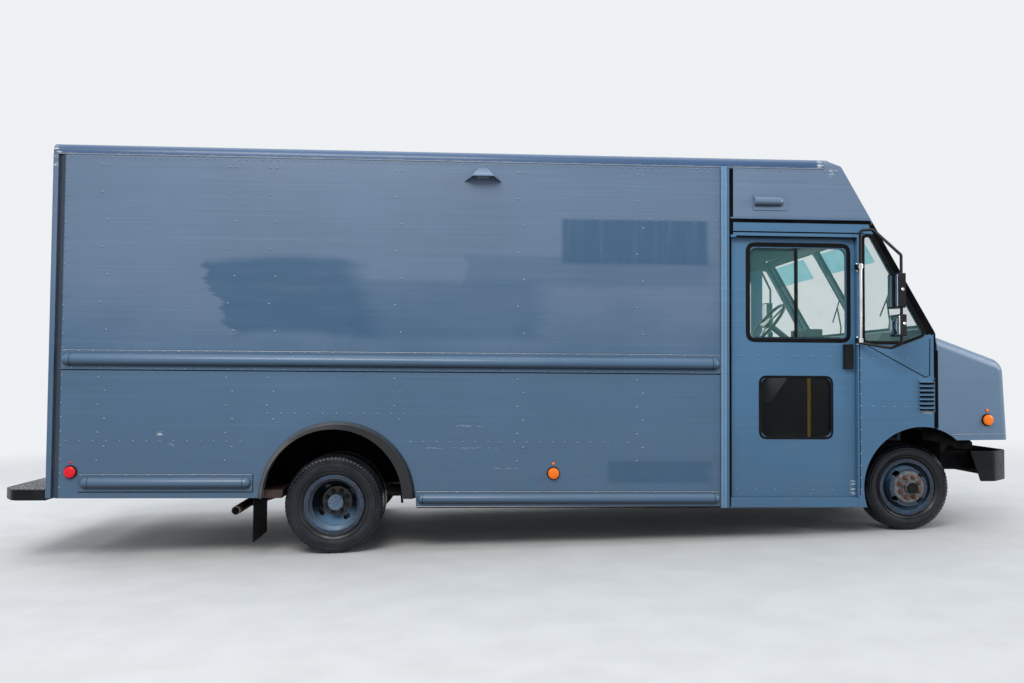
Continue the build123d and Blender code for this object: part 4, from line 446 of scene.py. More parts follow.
FINISHES = {
    "body_blue": paint("body_paint", BODY_BLUE, LOW_BLUE, (2.35, 3.0), patches=PATCHES, marks=MARKS),
    "rail_blue": paint("rail_paint", rgb(90, 119, 154), gloss=0.28, wear=0.8),
    "roof_paint": paint("roof_paint", rgb(138, 148, 158), gloss=0.66, wear=0.2),
    "rim_blue": rim_paint("rear_rim_paint", REAR_HUB, 0.040, 1.06, 1.15),
    "flare_black": paint("flare_paint", rgb(7, 9, 14), gloss=0.36, dirt=0.0, patches=FLARE_WEAR_AND_HIGHLIGHT),
    "bulkhead_grey": paint("bulkhead_paint", rgb(150, 154, 158), gloss=0.4, wear=0.2),
    "chassis_black": metal("chassis_paint", rgb(18, 18, 20), dust=0.25, shine=0.2),
    "spring_steel": metal("sprung_steel", rgb(52, 46, 42), rust=0.5),
    "engine_iron": metal("cast_iron", rgb(58, 58, 58), rust=0.25),
    "exhaust_steel": metal("exhaust_metal", rgb(112, 98, 84), rust=0.7, metallic=0.6),
    "floor_steel": metal("floor_paint", rgb(58, 60, 63), gloss=0.5, dust=0.3),
    "wheelhouse_black": metal("wheelhouse_coating", rgb(8, 8, 10), gloss=0.9, dust=0.08, shine=0.05),
    "bumper_black": metal("bumper_paint", rgb(12, 14, 18), gloss=0.35, dust=0.06, shine=0.16),
    "grille_black": metal("grille_paint", rgb(13, 14, 17), gloss=0.4, dust=0.1, shine=0.18),
    "mirror_black": metal("mirror_paint", rgb(15, 16, 20), gloss=0.3, dust=0.06, shine=0.25),
    "glass": clear_glass("window_glass", rgb(120, 190, 184), body=0.12, dirt=0.10),
    "lamp_glass": clear_glass("lamp_glass", rgb(200, 206, 210), body=0.35),
    "trim_grey": moulded("trim_plastic", rgb(44, 47, 52)),
    "seat_vinyl": moulded("seat_vinyl", rgb(44, 46, 50), gloss=0.42, grain=500),
    "wheel_black": moulded("steering_plastic", rgb(24, 24, 26), gloss=0.35),
    "rubber": moulded("black_rubber", rgb(10, 10, 12), gloss=0.6, shine=0.12),
    "tyre": tyre_rubber(),
    # The yellow grab rail glows, though it is no lamp: painted light
    "rail_yellow": metal("yellow_paint", rgb(232, 186, 36), gloss=0.25, dust=0.1, glow=0.35),
    "amber_lens": lens("amber_lens", rgb(250, 121, 5)),
    "red_lens": lens("red_lens", rgb(226, 10, 30)),
}
FRONT_RIM = rim_paint("front_rim_paint", FRONT_HUB, 0.125, 0.90, 0.96)
CAB_PAINT = paint("cab_paint", CAB_BLUE, CAB_LOW_BLUE, marks=CAB_MARKS)
CAP_PAINT = paint("cap_paint", rgb(109, 130, 156), gloss=0.36, marks=CAP_MARKS)
HOOD_PAINT = paint("hood_paint", rgb(97, 125, 152), rgb(62, 91, 121), (1.2, 2.0), gloss=0.38)
POST_PAINT = paint("post_paint", rgb(110, 150, 182), gloss=0.28)
ROOF_EDGE = paint("roof_edge_paint", rgb(58, 90, 128), gloss=0.34, wear=0.8, marks=EDGE_MARKS)
# Painted shade in the rear corner posts' coves
COVE_SHADE = paint("cove_shade_paint", rgb(38, 52, 70))
# Rivets a little lighter than the panels: a painted glint
RIVET_GLINT_PAINT = paint("rivet_glint_paint", rgb(124, 146, 168), wear=0.0)
# Near-black for painted shade in gaps, slots, creases and the exhaust's end, and for black trim
SHADE_AND_TRIM_BLACK = metal("shade_and_trim_black", rgb(6, 7, 9), gloss=0.85, dust=0.03, shine=0.05)
CHROME = bright_metal("chrome", (0.72, 0.73, 0.74, 1), 0.12, 0.08)
WORN_STEEL = bright_metal("worn_steel", (0.46, 0.47, 0.49, 1), 0.35, 0.3)
RUSTY_NUTS = metal("rusty_nuts", rgb(96, 58, 40), rust=0.8, dust=0.1)
DARK_NUTS = metal("dark_nuts", rgb(40, 26, 22), rust=0.35, dust=0.05)
HUB_GREY = metal("hub_metal", rgb(82, 100, 120), gloss=0.4, metallic=0.3, dust=0.15)
RUSTY_FRAME = metal("rusty_frame", rgb(40, 26, 22), rust=0.55, dust=0.1)
MIRROR_GLASS = bright_metal("mirror_silver", (0.86, 0.88, 0.90, 1), 0.02, 0.03)
LAMP_SILVER = bright_metal("lamp_silver", (0.74, 0.77, 0.81, 1), 0.16, 0.1)
# Glass darkened as painted shade, for the doors' lower panes
SHADED_PANE_GLASS = clear_glass("shaded_pane_glass", rgb(6, 13, 15), body=0.58, dirt=0.05, shine=0.18)
# Pale sealant, also used for the painted highlights along the rails' flanges
SEALANT_AND_HIGHLIGHT = paint("sealant", rgb(150, 160, 172), wear=0.2)
VISOR_TINT = visor_tint()
OWN_FINISH = {
    "front_right_rim": FRONT_RIM, "front_left_rim": FRONT_RIM, "headlamps": LAMP_SILVER, "hood": HOOD_PAINT,
    "front_cap": CAP_PAINT, "windshield_frame": CAP_PAINT, "roof_rails": ROOF_EDGE,
}
OWN_FINISH.update(dict.fromkeys(("right_door", "left_door", "cab_sides", "door_frames"), CAB_PAINT))


# CAD pieces: the same forms with eased edges
USUAL_EASE = 0.003
EASE = {
    "cab_glass": 0, "right_door_glass": 0, "left_door_glass": 0, "frame_rails": 0.002, "roof_panel": 0.002,
    "hood": 0.012, "front_cap": 0.014, "front_bumper": 0.005, "rear_step_bumper": 0.005,
}
MERGE_UNDER = 2e-5
FLAT_UNDER = radians(0.5)
SMOOTH_UNDER = radians(32)
# Nodes whose faces stay as the frame has them
KEPT_FACES = ("wheelhouses", "front_bumper")
# The headlamps: Y and Z of the middle, X of the face and radius of the recess
HEADLAMP = (780, 1090)
HEADLAMP_FACE_X = 5280.5
HEADLAMP_RECESS_R = 71
DOOR_LATCH = ((FINISHES["grille_black"], lambda x, y, z: y > 1178 and x > 3890),)
# The doors' lower panes are darker: painted shade of the dark step well behind them
LOWER_PANE_SHADE = ((SHADED_PANE_GLASS, lambda x, y, z: z < 1450),)
# Nodes with more than one finish: each finish, and the faces that take it by their X, distance from the
# middle and Z
OTHER_FINISHES = {
    "side_lamps": ((FINISHES["red_lens"], lambda x, y, z: x < -1800), (CAP_PAINT, lambda x, y, z: z > 1000)),
    "right_door": DOOR_LATCH,
    "left_door": DOOR_LATCH,
    "right_door_glass": LOWER_PANE_SHADE,
    "left_door_glass": LOWER_PANE_SHADE,
    "door_frames": ((POST_PAINT, lambda x, y, z: x < 2990 and z < 2890),),
    "headlamps": ((FINISHES["grille_black"], lambda x, y, z: x < HEADLAMP_FACE_X
                   and hypot(y - HEADLAMP[0], z - HEADLAMP[1]) > HEADLAMP_RECESS_R),),
    "rear_frame": ((COVE_SHADE, lambda x, y, z: -2066 < x < -2008 and y > 1195 and z > 430),),
    "frame_rails": ((RUSTY_FRAME, lambda x, y, z: -1500 < x < 1200 and z < 720),),
    "windshield_frame": ((SHADE_AND_TRIM_BLACK, lambda x, y, z: y > 1216),),
}


def painted_parts(piece, node):
    """Gives some faces of a node's copy another finish, going by where they lie in the level drawing."""
    if node not in OTHER_FINISHES:
        return
    to_body = BODY.inverted()
    for finish, test in OTHER_FINISHES[node]:
        piece.data.materials.append(finish)
        index = len(piece.data.materials) - 1
        for face in piece.data.polygons:
            spot = to_body @ face.center * 1000
            if test(spot.x, abs(spot.y), spot.z):
                face.material_index = index


def eased(node):
    """Stands a copy with rounded edges in for a CAD node."""
    mesh = NODES[node].data.copy()
    mesh.name = node + "_form"
    work = bmesh.new()
    work.from_mesh(mesh)
    bmesh.ops.remove_doubles(work, verts=work.verts, dist=MERGE_UNDER)
    if node not in KEPT_FACES:
        bmesh.ops.dissolve_limit(work, angle_limit=FLAT_UNDER, verts=work.verts, edges=work.edges)
    work.to_mesh(mesh)
    work.free()
    if "custom_normal" in mesh.attributes:
        mesh.attributes.remove(mesh.attributes["custom_normal"])
    piece = placed(node + "_form", mesh)
    mesh.shade_smooth()
    mesh.set_sharp_from_angle(angle=SMOOTH_UNDER)
    width = EASE.get(node, USUAL_EASE)
    if width:
        round_edges(piece, width)
    finish_piece(piece, BODY_OF[node], SLOT_OF[node], OWN_FINISH.get(node))
    painted_parts(piece, node)
    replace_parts(piece, node)


def round_edges(piece, width):
    bevel = piece.modifiers.new("edges", "BEVEL")
    bevel.width = width
    bevel.segments = 2
    bevel.limit_method = "ANGLE"
    bevel.angle_limit = SMOOTH_UNDER
    bevel.harden_normals = True
    bevel.use_clamp_overlap = True


def finish_piece(piece, body, slot, finish=None):
    """Rides a piece on its body and gives it its finish."""
    piece.data.materials.clear()
    piece.data.materials.append(finish or FINISHES[slot])
    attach(piece, body)


for node in NODES:
    if not node.endswith("_tyre") and node != "driver_seat":
        eased(node)


# Shapes, in millimetres of the level drawing unless another place is given
MM = Matrix.Scale(0.001, 4)
BODY_MM = BODY @ MM


def circle(radius, count, start=0.0):
    turns = [start + 2 * pi * n / count for n in range(count)]
    return [(radius * cos(turn), radius * sin(turn)) for turn in turns]


def rounded(corners, radius, steps=5):
    """A closed flat outline with its corners turned into arcs."""
    outline = []
    count = len(corners)
    for n, corner in enumerate(corners):
        corner = Vector(corner)
        back = Vector(corners[n - 1]) - corner
        ahead = Vector(corners[(n + 1) % count]) - corner
        half_turn = back.angle(ahead) / 2
        reach = min(radius / abs(sin(half_turn) / cos(half_turn)), 0.45 * back.length, 0.45 * ahead.length)
        start = corner + back.normalized() * reach
        end = corner + ahead.normalized() * reach
        for step in range(steps + 1):
            share = step / steps
            bend = corner * (2 * share * (1 - share))
            outline.append(tuple(start * (1 - share) ** 2 + bend + end * share**2))
    return outline


def box_corners(a0, a1, b0, b1):
    return [(a0, b0), (a1, b0), (a1, b1), (a0, b1)]


class Shape:
    """Gathers the faces of one piece. What adds to it returns it."""

    def __init__(self, place=None):
        self.place = place or BODY_MM
        self.points = []
        self.faces = []

    def loft(self, loops, closed=False):
        """Skins a row of loops that have as many points each, back to the first one or capped."""
        start = len(self.points)
        count = len(loops[0])
        self.points += [Vector(point) for loop in loops for point in loop]
        for row in range(len(loops) if closed else len(loops) - 1):
            a = start + row * count
            b = start + (row + 1) % len(loops) * count
            for i in range(count):
                j = (i + 1) % count
                self.faces.append((a + i, a + j, b + j, b + i))
        if not closed:
            self.faces.append(tuple(range(start + count - 1, start - 1, -1)))
            self.faces.append(tuple(range(len(self.points) - count, len(self.points))))
        return self

    def blocks(self, s, *rows):
        """Blocks between two stations along, across and up the body, mirrored to the right where s is -1."""
        for x0, x1, y0, y1, z0, z1 in rows:
            self.loft([[(x, y, z) for x, y in box_corners(x0, x1, s * y0, s * y1)] for z in (z0, z1)])
        return self

    def plate(self, outline, y0, y1):
        """An outline drawn in side view, from one station across the body to another."""
        return self.loft([[(x, y, z) for x, z in outline] for y in (y0, y1)])

    def turned(self, profile, at, along, count):
        """A profile of (along, out) points turned about an axis, closed where it meets the axis."""
        frame_of = Vector(along).to_track_quat("Z", "Y").to_matrix()
        loops = []
        for reach, out in profile:
            loops.append([Vector(at) + frame_of @ Vector((x, y, reach)) for x, y in circle(out, count)])
        return self.loft(loops)

    def rivet(self, at, s, radius):
        dome = ((0, radius), (RIVET_H * 0.7, radius * 0.75), (RIVET_H, radius * 0.25))
        self.turned(dome, at, (0, s, 0), 6)

    def tube(self, path, radius, count):
        """A round bar along a path."""
        path = [Vector(point) for point in path]
        last = len(path) - 1
        tangents = [(path[min(n + 1, last)] - path[max(n - 1, 0)]).normalized() for n in range(last + 1)]
        side = tangents[0].orthogonal().normalized()
        loops = []
        for point, tangent in zip(path, tangents):
            side = (side - tangent * side.dot(tangent)).normalized()
            other = tangent.cross(side)
            loops.append([point + side * x + other * y for x, y in circle(radius, count)])
        return self.loft(loops)

    def band(self, outline, lift, section):
        """A strip round a flat outline: lift turns (outline x, outline z, height) into a place."""
        loops = []
        count = len(outline)
        for n, (x, z) in enumerate(outline):
            run = Vector(outline[(n + 1) % count]) - Vector(outline[n - 1])
            out = Vector((run.y, -run.x)).normalized()
            loops.append([lift(x + out.x * wide, z + out.y * wide, high) for wide, high in section])
        return self.loft(loops, closed=True)

    def piece(self, name, slot, finish=None, body="chassis", ease=0.0, smooth=40):
        mesh = bpy.data.meshes.new(name)
        mesh.from_pydata([self.place @ point for point in self.points], [], self.faces)
        work = bmesh.new()
        work.from_mesh(mesh)
        bmesh.ops.recalc_face_normals(work, faces=work.faces)
        work.to_mesh(mesh)
        work.free()
        mesh.shade_smooth()
        mesh.set_sharp_from_angle(angle=radians(smooth))
        made = placed(name, mesh)
        if ease:
            round_edges(made, ease)
        finish_piece(made, body, slot, finish)
        return made


# Rivets, in a lighter paint as a painted glint
WALL_Y = 1220
DOOR_Y = 1175
RIVET_R = 9.0
SMALL_RIVET_R = RIVET_R * 0.85
RIVET_H = 4.0
RIVET_PITCH = 205
PANEL_TOP = 2890
SKIRT_RIVET_TOP = 1312
PANEL_RIVETS = 6
SKIRT_RIVETS = 7
# The seams' rivet columns: the two X stations that the rivets alternate between
SEAMS = ((-1736, -1689), (-808, -762), (-506, -460), (434, 476), (1359, 1405), (2272, 2318))
# Where the wheel arch takes the seams' lower rivets: up to this Z and this far from the axle
ARCH_TOP = 960
ARCH_REACH = 520
# Rivet rows: first X, last X, Z, pitch and Y
RIVET_ROWS = (
    (-1980, 2905, 1502, 102.7, WALL_Y + 7),
    (-1930, 2905, 1375, 102.7, WALL_Y + 7),
    (-1960, -620, 839, 97, WALL_Y),
    (560, 2240, 839, 97, WALL_Y),
    (-505, 516, 1048, 102, WALL_Y),
    (-1840, -620, 588, 160, WALL_Y + 7),
    (610, 2900, 463, 150, WALL_Y + 7),
    (-1960, 2900, 2946, 58, WALL_Y),
    (1960, 2905, 2545, 102.7, WALL_Y),
    (3040, 3860, 2945, 88, WALL_Y),
    (3090, 3930, 1508, 143, DOOR_Y),
    (3060, 3960, 475, 150, DOOR_Y),
    (4030, 4400, 1490, 92, WALL_Y),
    (4030, 4560, 1120, 88, WALL_Y),
)
# Rivet columns: X, lowest Z, pitch and how many
RIVET_COLUMNS = ((-1998, 500, 102.7, 24), (4022, 480, 92, 12))


def add_rivets():
    for name, s in SIDES:
        fixed = Shape()
        door = Shape()
        y = s * WALL_Y
        for left, right in SEAMS:
            for n in range(1, PANEL_RIVETS + 1):
                fixed.rivet(((right, left)[n % 2], y, PANEL_TOP - n * RIVET_PITCH), s, RIVET_R)
            for n in range(SKIRT_RIVETS):
                z = SKIRT_RIVET_TOP - n * RIVET_PITCH / 2
                if z > ARCH_TOP or abs(left) > ARCH_REACH:
                    fixed.rivet(((left, right)[n % 2], y, z), s, RIVET_R)
            for x in (left, right):
                fixed.rivet((x, y, PANEL_TOP), s, RIVET_R)
        for first, last, z, pitch, station in RIVET_ROWS:
            target = door if station == DOOR_Y else fixed
            for n in range(int((last - first) / pitch) + 1):
                target.rivet((first + n * pitch, s * station, z), s, SMALL_RIVET_R)
        for x, low, pitch, count in RIVET_COLUMNS:
            for n in range(count):
                fixed.rivet((x, y, low + n * pitch), s, SMALL_RIVET_R)
        fixed.piece(name + "_wall_rivets", "body_blue", RIVET_GLINT_PAINT, smooth=60)
        door.piece(name + "_door_rivets", "body_blue", RIVET_GLINT_PAINT, name + "_door", smooth=60)


add_rivets()


# Window seals: rubber round each pane, low enough for the wall's pocket, and the sliding window's sash
# A seal's section as (out from the opening's edge, out from the wall)
SEAL_RISE = 4
SEAL = ((-34, 0), (-36, 2), (-30, SEAL_RISE), (-12, SEAL_RISE), (-3, 2), (2, -4), (2, -10), (-6, -10))
THIN_SEAL = ((-20, 0), (-21, 2), (-14, SEAL_RISE), (-6, SEAL_RISE), (2, -4), (2, -10), (-6, -10))
# Openings: first and last X, bottom and top Z, and the radius of their corners
UPPER_WINDOW = (3131, 3967, 1612, 2392)
UPPER_R = 78
LOWER_WINDOW = (3232, 3825, 862, 1358)
LOWER_R = 66
CORNER_WINDOW = ((4056, 2440), (4056, 1628), (4360, 1628), (4526, 1690), (4110, 2440))
CORNER_R = 26
CORNER_SEAL = ((0, -4), (-1, 5), (8, 8), (22, 6), (24, 0))
# Blocks, here and below: first and last X, stations across the body, bottom and top Z
SASH = (
    (3160, 3940, 1141, 1173, 1642, 1656),
    (3160, 3940, 1141, 1173, 2350, 2364),
    (3518, 3540, 1167, 1173, 1640, 2364),
    (3532, 3556, 1143, 1149, 1640, 2364),
)
WINDOW_LATCH = (3522, 3537, DOOR_Y - 2, DOOR_Y + SEAL_RISE, 1920, 1990)


def on_side(s, y):
    """Lifts an outline onto a side of the body."""
    return lambda x, z, high: (x, s * (y + high), z)


def add_side_windows():
    for name, s in SIDES:
        door = name + "_door"
        upper = Shape().band(rounded(box_corners(*UPPER_WINDOW), UPPER_R), on_side(s, DOOR_Y), SEAL)
        upper.blocks(s, *SASH).piece(name + "_upper_window_seal", "rubber", body=door, ease=0.001)
        Shape().blocks(s, WINDOW_LATCH).piece(name + "_window_latch", "grille_black", body=door, ease=0.001)
        lower = Shape().band(rounded(box_corners(*LOWER_WINDOW), LOWER_R), on_side(s, DOOR_Y), THIN_SEAL)
        lower.piece(name + "_lower_window_seal", "rubber", body=door)
        corner = Shape().band(rounded(CORNER_WINDOW, CORNER_R), on_side(s, WALL_Y), CORNER_SEAL)
        corner.piece(name + "_corner_window_seal", "rubber")


add_side_windows()


# Lines along the body: painted shade in the gaps, seams, slots and creases, painted highlight and shade round
# the rails' flanges, the drip rail over the door, and the sealant under the roof rail
# Painted shade in gaps and under overhangs: first X, last X, bottom Z, top Z, station across the body and how
# far out
SHADE_LINES = (
    (2990, 3001, 352, 2955, WALL_Y, 1.5),
    (3001, 3020, 2442, 2955, WALL_Y, 1.5),
    (3001, 4112, 2538, 2562, WALL_Y, 2.0),
    (3001, 4050, 2461, 2470, WALL_Y, 2.0),
    (3044, 3996, 2422, 2435, WALL_Y, 1.5),
    (4012, 4018, 440, 1600, WALL_Y, 1.0),
    (4606, 4621, 958, 1690, WALL_Y, 1.0),
)
# Rails whose flanges get a painted outline, shade along the bottom and ends and a highlight along the top:
# first X, last X, bottom Z and top Z
FLANGES = ((-2001, 2921, 1367, 1510), (-1858, -603, 470, 597), (614, 2908, 353, 470))
# The dark band beside the corner glass, on the windshield frame's side
PILLAR_BAND = ((4117, 2452), (4150, 2500), (4612, 1704), (4548, 1678))
# The vent's slots, filled with painted shade: first and last X, lowest slot's Z, pitch and how many
SLOTS = (4489, 4598, 1093, 34, 7)
# Painted shade along the cab's crease
CAB_CREASE = ((4082, 1592), (4540, 1350), (4572, 1366), (4577, 1650))
# The rails' half-round ends, each ringed with painted shade: X, Z and radius
RAIL_ENDS = (
    (-1788, 533.5, 42), (-673, 533.5, 42), (654, 415, 38), (2868, 415, 38), (-1935, 1438.5, 46),
    (2851, 1438.5, 46),
)
# Painted shade in the gap beside the door and in the hood's gap
DOOR_GAP = (3001, 3020, DOOR_Y - 2, DOOR_Y + 1, 362, 2424)
HOOD_GAP = (4628, 4648, 1192, 1203.5, 958, 1560)
# The hood's side: X, Y and Z of its lamp, and how its face looks (forward, outward)
HOOD_LAMP = (5079, 1135.4, 1018)
HOOD_TAPER = (95 / 650, 643 / 650)
HOOD_HEM = (4760, 5010, 5244)
HOOD_HEM_Z = 905
BEAD_THICK = 4
HEM_THICK = 3.5
CREASE_THICK = 3
DRIP_RAIL = ((2998, 2563), (4104, 2563), (4096, 2577), (2998, 2577))


def hood_side(x):
    """How far from the middle the hood's side is at a station along the body."""
    return HOOD_LAMP[1] + (HOOD_LAMP[0] - x) * HOOD_TAPER[0] / HOOD_TAPER[1]


def add_body_lines():
    for name, s in SIDES:
        dark = Shape()
        light = Shape()
        inner = WALL_Y - 2
        outer = WALL_Y + 1.5
        for x0, x1, z0, z1, y, out in SHADE_LINES:
            dark.blocks(s, (x0, x1, y - 3, y + out, z0, z1))
        # Each flange: painted shade along its bottom and ends, and a painted highlight along its top
        for x0, x1, z0, z1 in FLANGES:
            dark.blocks(s, (x0 - 4, x1 + 4, inner, outer, z0 - 7, z0), (x0 - 4, x0, inner, outer, z0, z1),
                        (x1, x1 + 4, inner, outer, z0, z1))
            light.tube([(x, s * (WALL_Y + 6.5), z1 - 2) for x in (x0, (x0 + x1) / 2, x1)], CREASE_THICK, 8)
        light.piece(name + "_flange_highlights", "rail_blue", SEALANT_AND_HIGHLIGHT)
        dark.plate(PILLAR_BAND, s * inner, s * outer)
        x0, x1, low, pitch, count = SLOTS
        for z in range(low, low + pitch * count, pitch):
            dark.blocks(s, (x0, x1, WALL_Y + 3, WALL_Y + 17.7, z, z + 13))
        dark.tube([(x, s * (WALL_Y + 0.5), z) for x, z in CAB_CREASE], CREASE_THICK, 8)
        for x, z, radius in RAIL_ENDS:
            dark.turned(((0, radius + 0.7), (3, radius + 0.7)), (x, s * (WALL_Y + 7), z), (1, 0, 0), 40)
        dark.piece(name + "_shade_and_trim_lines", "rubber", SHADE_AND_TRIM_BLACK)
        Shape().blocks(s, DOOR_GAP).piece(name + "_door_gap_shade", "rubber", SHADE_AND_TRIM_BLACK, name + "_door")
        Shape().blocks(s, HOOD_GAP).piece(name + "_hood_gap_shade", "rubber", SHADE_AND_TRIM_BLACK, "hood")
        hem = Shape().tube([(x, s * hood_side(x), HOOD_HEM_Z) for x in HOOD_HEM], HEM_THICK, 8)
        hem.piece(name + "_hood_hem", "body_blue", SEALANT_AND_HIGHLIGHT, "hood")
        rail = Shape().plate(DRIP_RAIL, s * inner, s * (WALL_Y + 13))
        rail.piece(name + "_drip_rail", "rail_blue", ease=0.003)
        bead = Shape().tube([(x, s * (WALL_Y + 0.5), 2964) for x in (-2092, 0, 3740)], BEAD_THICK, 8)
        bead.piece(name + "_sealant", "roof_paint", SEALANT_AND_HIGHLIGHT)
        edge = Shape().tube([(2944, s * (WALL_Y + 16), z) for z in (352, 1700, 2950)], BEAD_THICK, 8)
        edge.tube([(-2092, s * (WALL_Y - 1), z) for z in (424, 1700, 2960)], BEAD_THICK, 8)
        edge.piece(name + "_edge_beads", "rail_blue")


add_body_lines()


# Wheels: treaded tyres, the rims' worn lips, nuts and hubs, in each wheel's own millimetres
BEAD_R = 207
# Half of a tyre's section, from bead to tread: distance from its middle, and share of the way out
TYRE_SIDE = (
    (78, 0.0), (87, 0.09), (94, 0.15), (99, 0.175), (95, 0.205), (101, 0.27), (105, 0.32), (108, 0.335),
    (104, 0.365), (109, 0.46), (112, 0.56), (110, 0.64), (113, 0.66), (108, 0.69), (108, 0.75), (111, 0.77),
    (106, 0.80), (103, 0.85), (98, 0.91), (92, 0.955), (85, 0.985), (76, 0.995), (60, 1.0), (59, 0.945),
    (52, 0.945), (51, 1.0), (24, 1.0), (23, 0.945), (16, 0.945), (15, 1.0),
)
LUGS = 72
LUG_DEPTH = 5.0
# The shoulders' lugs: this far from the tyre's middle, and beyond this share of the way out
LUG_FROM = (61, 0.84)
# Where in each lug's pitch a section stands, and whether it is in the groove
LUG_STEPS = ((0.0, 0), (0.62, 0), (0.70, 1), (0.92, 1))
# axle: tyre radius, each tyre's distance from the body's middle, and the rim lip's
WHEELS = {"rear": (366, (1076, 814), 1160), "front": (344, (880,), 964)}
LIP_R = 220
LIP_THICK = 2
RING_STEPS = 96
NUT_CIRCLE_R = 82.5
NUT_START = radians(22.5)
BOLT_CIRCLE_R = 45
# Where a rim's middle disc is met, this far from the axle
DISC_AT = 20
OUTWARD = (0, 1, 0)
# Profiles turned about the axle, as (along, out)
NUT = ((-2, 20), (3, 20), (3, 15), (19, 15), (22, 12))
STUD = ((20, 7), (31, 7), (33, 5))
FLANGE = ((-1, 59), (6, 59), (8, 56))
FLANGE_BOLT = ((7, 8), (14, 8), (15, 6))
FLANGE_BOSS = ((7, 22), (12, 20), (13, 12), (9, 8))
HUB_CAP = ((-1, 43), (16, 43), (22, 39), (23, 31), (16, 28), (16, 4))


def wheel_place(hub, side):
    """A wheel's own frame: X forward, Y outward from the body's middle and Z up, in millimetres."""
    return Matrix.Translation((hub.x, 0, hub.z)) @ Matrix.Diagonal((1, side, 1, 1)) @ MM


def add_tyre(shape, radius, station):
    section = list(TYRE_SIDE) + [(-y, share) for y, share in reversed(TYRE_SIDE)]
    loops = []
    for lug in range(LUGS):
        for step, groove in LUG_STEPS:
            turn = 2 * pi * (lug + step) / LUGS
            loop = []
            for y, share in section:
                out = BEAD_R + share * (radius - BEAD_R)
                if groove and abs(y) > LUG_FROM[0] and share > LUG_FROM[1]:
                    out -= LUG_DEPTH
                loop.append((out * cos(turn), station + y, out * sin(turn)))
            loops.append(loop)
    shape.loft(loops, closed=True)


def lip_ring(place, station):
    """A thin round bar bent into a circle about the axle."""
    loops = []
    for n in range(RING_STEPS):
        turn = 2 * pi * n / RING_STEPS
        loops.append([((LIP_R + out) * cos(turn), station + along, (LIP_R + out) * sin(turn))
                      for out, along in circle(LIP_THICK, 8)])
    return Shape(place).loft(loops, closed=True)


def seat_on(node, hub, x, z):
    """How far from the body's middle a node's outward face is, at a place in millimetres from its hub."""
    mesh = NODES[node].data
    faces = [face.vertices[:] for face in mesh.polygons]
    tree = BVHTree.FromPolygons([point.co for point in mesh.vertices], faces)
    side = 1 if middle(node).y > 0 else -1
    start = Vector((hub.x + x / 1000, side * 1.5, hub.z + z / 1000))
    return abs(tree.ray_cast(start, Vector((0, -side, 0)))[0].y) * 1000


def add_wheels():
    for axle, (radius, stations, lip) in WHEELS.items():
        hub = AXLES[axle]
        for name, s in SIDES:
            wheel = axle + "_" + name
            body = wheel + "_wheel"
            place = wheel_place(hub, s)
            tyre = Shape(place)
            for station in stations:
                add_tyre(tyre, radius, station)
            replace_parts(tyre.piece(wheel + "_tread", "tyre", body=body, smooth=34), wheel + "_tyre")
            lip_ring(place, lip).piece(wheel + "_rim_lip", "rim_blue", WORN_STEEL, body)
            nuts = Shape(place)
            circle_of_nuts = circle(NUT_CIRCLE_R, 8, NUT_START)
            seat = seat_on(wheel + "_rim", hub, *circle_of_nuts[0])
            for x, z in circle_of_nuts:
                nuts.turned(NUT, (x, seat, z), OUTWARD, 6).turned(STUD, (x, seat, z), OUTWARD, 8)
            finish = DARK_NUTS if axle == "rear" else RUSTY_NUTS
            nuts.piece(wheel + "_nuts", "spring_steel", finish, body, ease=0.001)
            seat = seat_on(wheel + "_rim", hub, DISC_AT, 0)
            cap = Shape(place)
            if axle == "rear":
                cap.turned(FLANGE, (0, seat, 0), OUTWARD, 40)
                for x, z in circle(BOLT_CIRCLE_R, 8):
                    cap.turned(FLANGE_BOLT, (x, seat, z), OUTWARD, 6)
                cap.turned(FLANGE_BOSS, (0, seat, 0), OUTWARD, 24)
                cap.piece(wheel + "_hub_flange", "spring_steel", HUB_GREY, body, ease=0.001)
            else:
                cap.turned(HUB_CAP, (0, seat, 0), OUTWARD, 40)
                cap.piece(wheel + "_hub_cap", "grille_black", body=body, ease=0.001)


add_wheels()


# Under the arches: the wells' inner walls and feet, the liners under the hood, and painted shade in the
# exhaust's open end
WELL_WALLS = (
    (-536, 532, 684, 689, 478, 786),
    (-536, -330, 684, 689, 400, 480),
    (-536, -531, 690, 1176, 478, 786),
    (527, 532, 690, 1176, 478, 786),
    (384, 532, 690, 1176, 432, 462),
    (4560, 5000, 560, 566, 640, 905),
)
WELL_FOOT = (-562, -392, 690, 1176, 415, 476)
LINER_Y = 1120
# The rod under the well's front corner: X and Z of its ends
WELL_ROD = ((492, 440), (497, 372))
EXHAUST_END = (-734, -1165, 321)
LINER_EDGE = (
    (4560, 985), (4700, 975), (4900, 900), (4962, 840), (4962, 790), (4866, 786), (4765, 822), (4660, 848),
    (4590, 862), (4560, 866),
)


def add_wells():
    feet = Shape()
    dark = Shape()
    for _, s in SIDES:
        dark.blocks(s, *WELL_WALLS)
        dark.tube([(x, s * LINER_Y, z) for x, z in WELL_ROD], 9, 8)
        dark.plate(LINER_EDGE, s * LINER_Y, s * (LINER_Y + 6))
        feet.blocks(s, WELL_FOOT)
    dark.piece("well_walls", "wheelhouse_black")
    feet.piece("well_feet", "spring_steel", RUSTY_FRAME, ease=0.003)
    # The exhaust's open end: a disc of painted shade
    bore = Shape().turned(((0, 27), (1.5, 27)), EXHAUST_END, (0, -1, 0), 32)
    bore.piece("exhaust_bore_shade", "exhaust_steel", SHADE_AND_TRIM_BLACK)


add_wells()


# Lamps: round markers with their bezels, the lamps on the hood, at the back and under the scoop
# A lens as (along, share of its radius), and its rubber ring as (along, how much wider)
LENS = ((0, 1), (23, 1), (27, 0.93), (30, 0.72), (32, 0.4), (32.5, 0.05))
BEZEL = ((-1, 7), (7, 7), (10, 3), (10, -1))
LAMP_R = 41
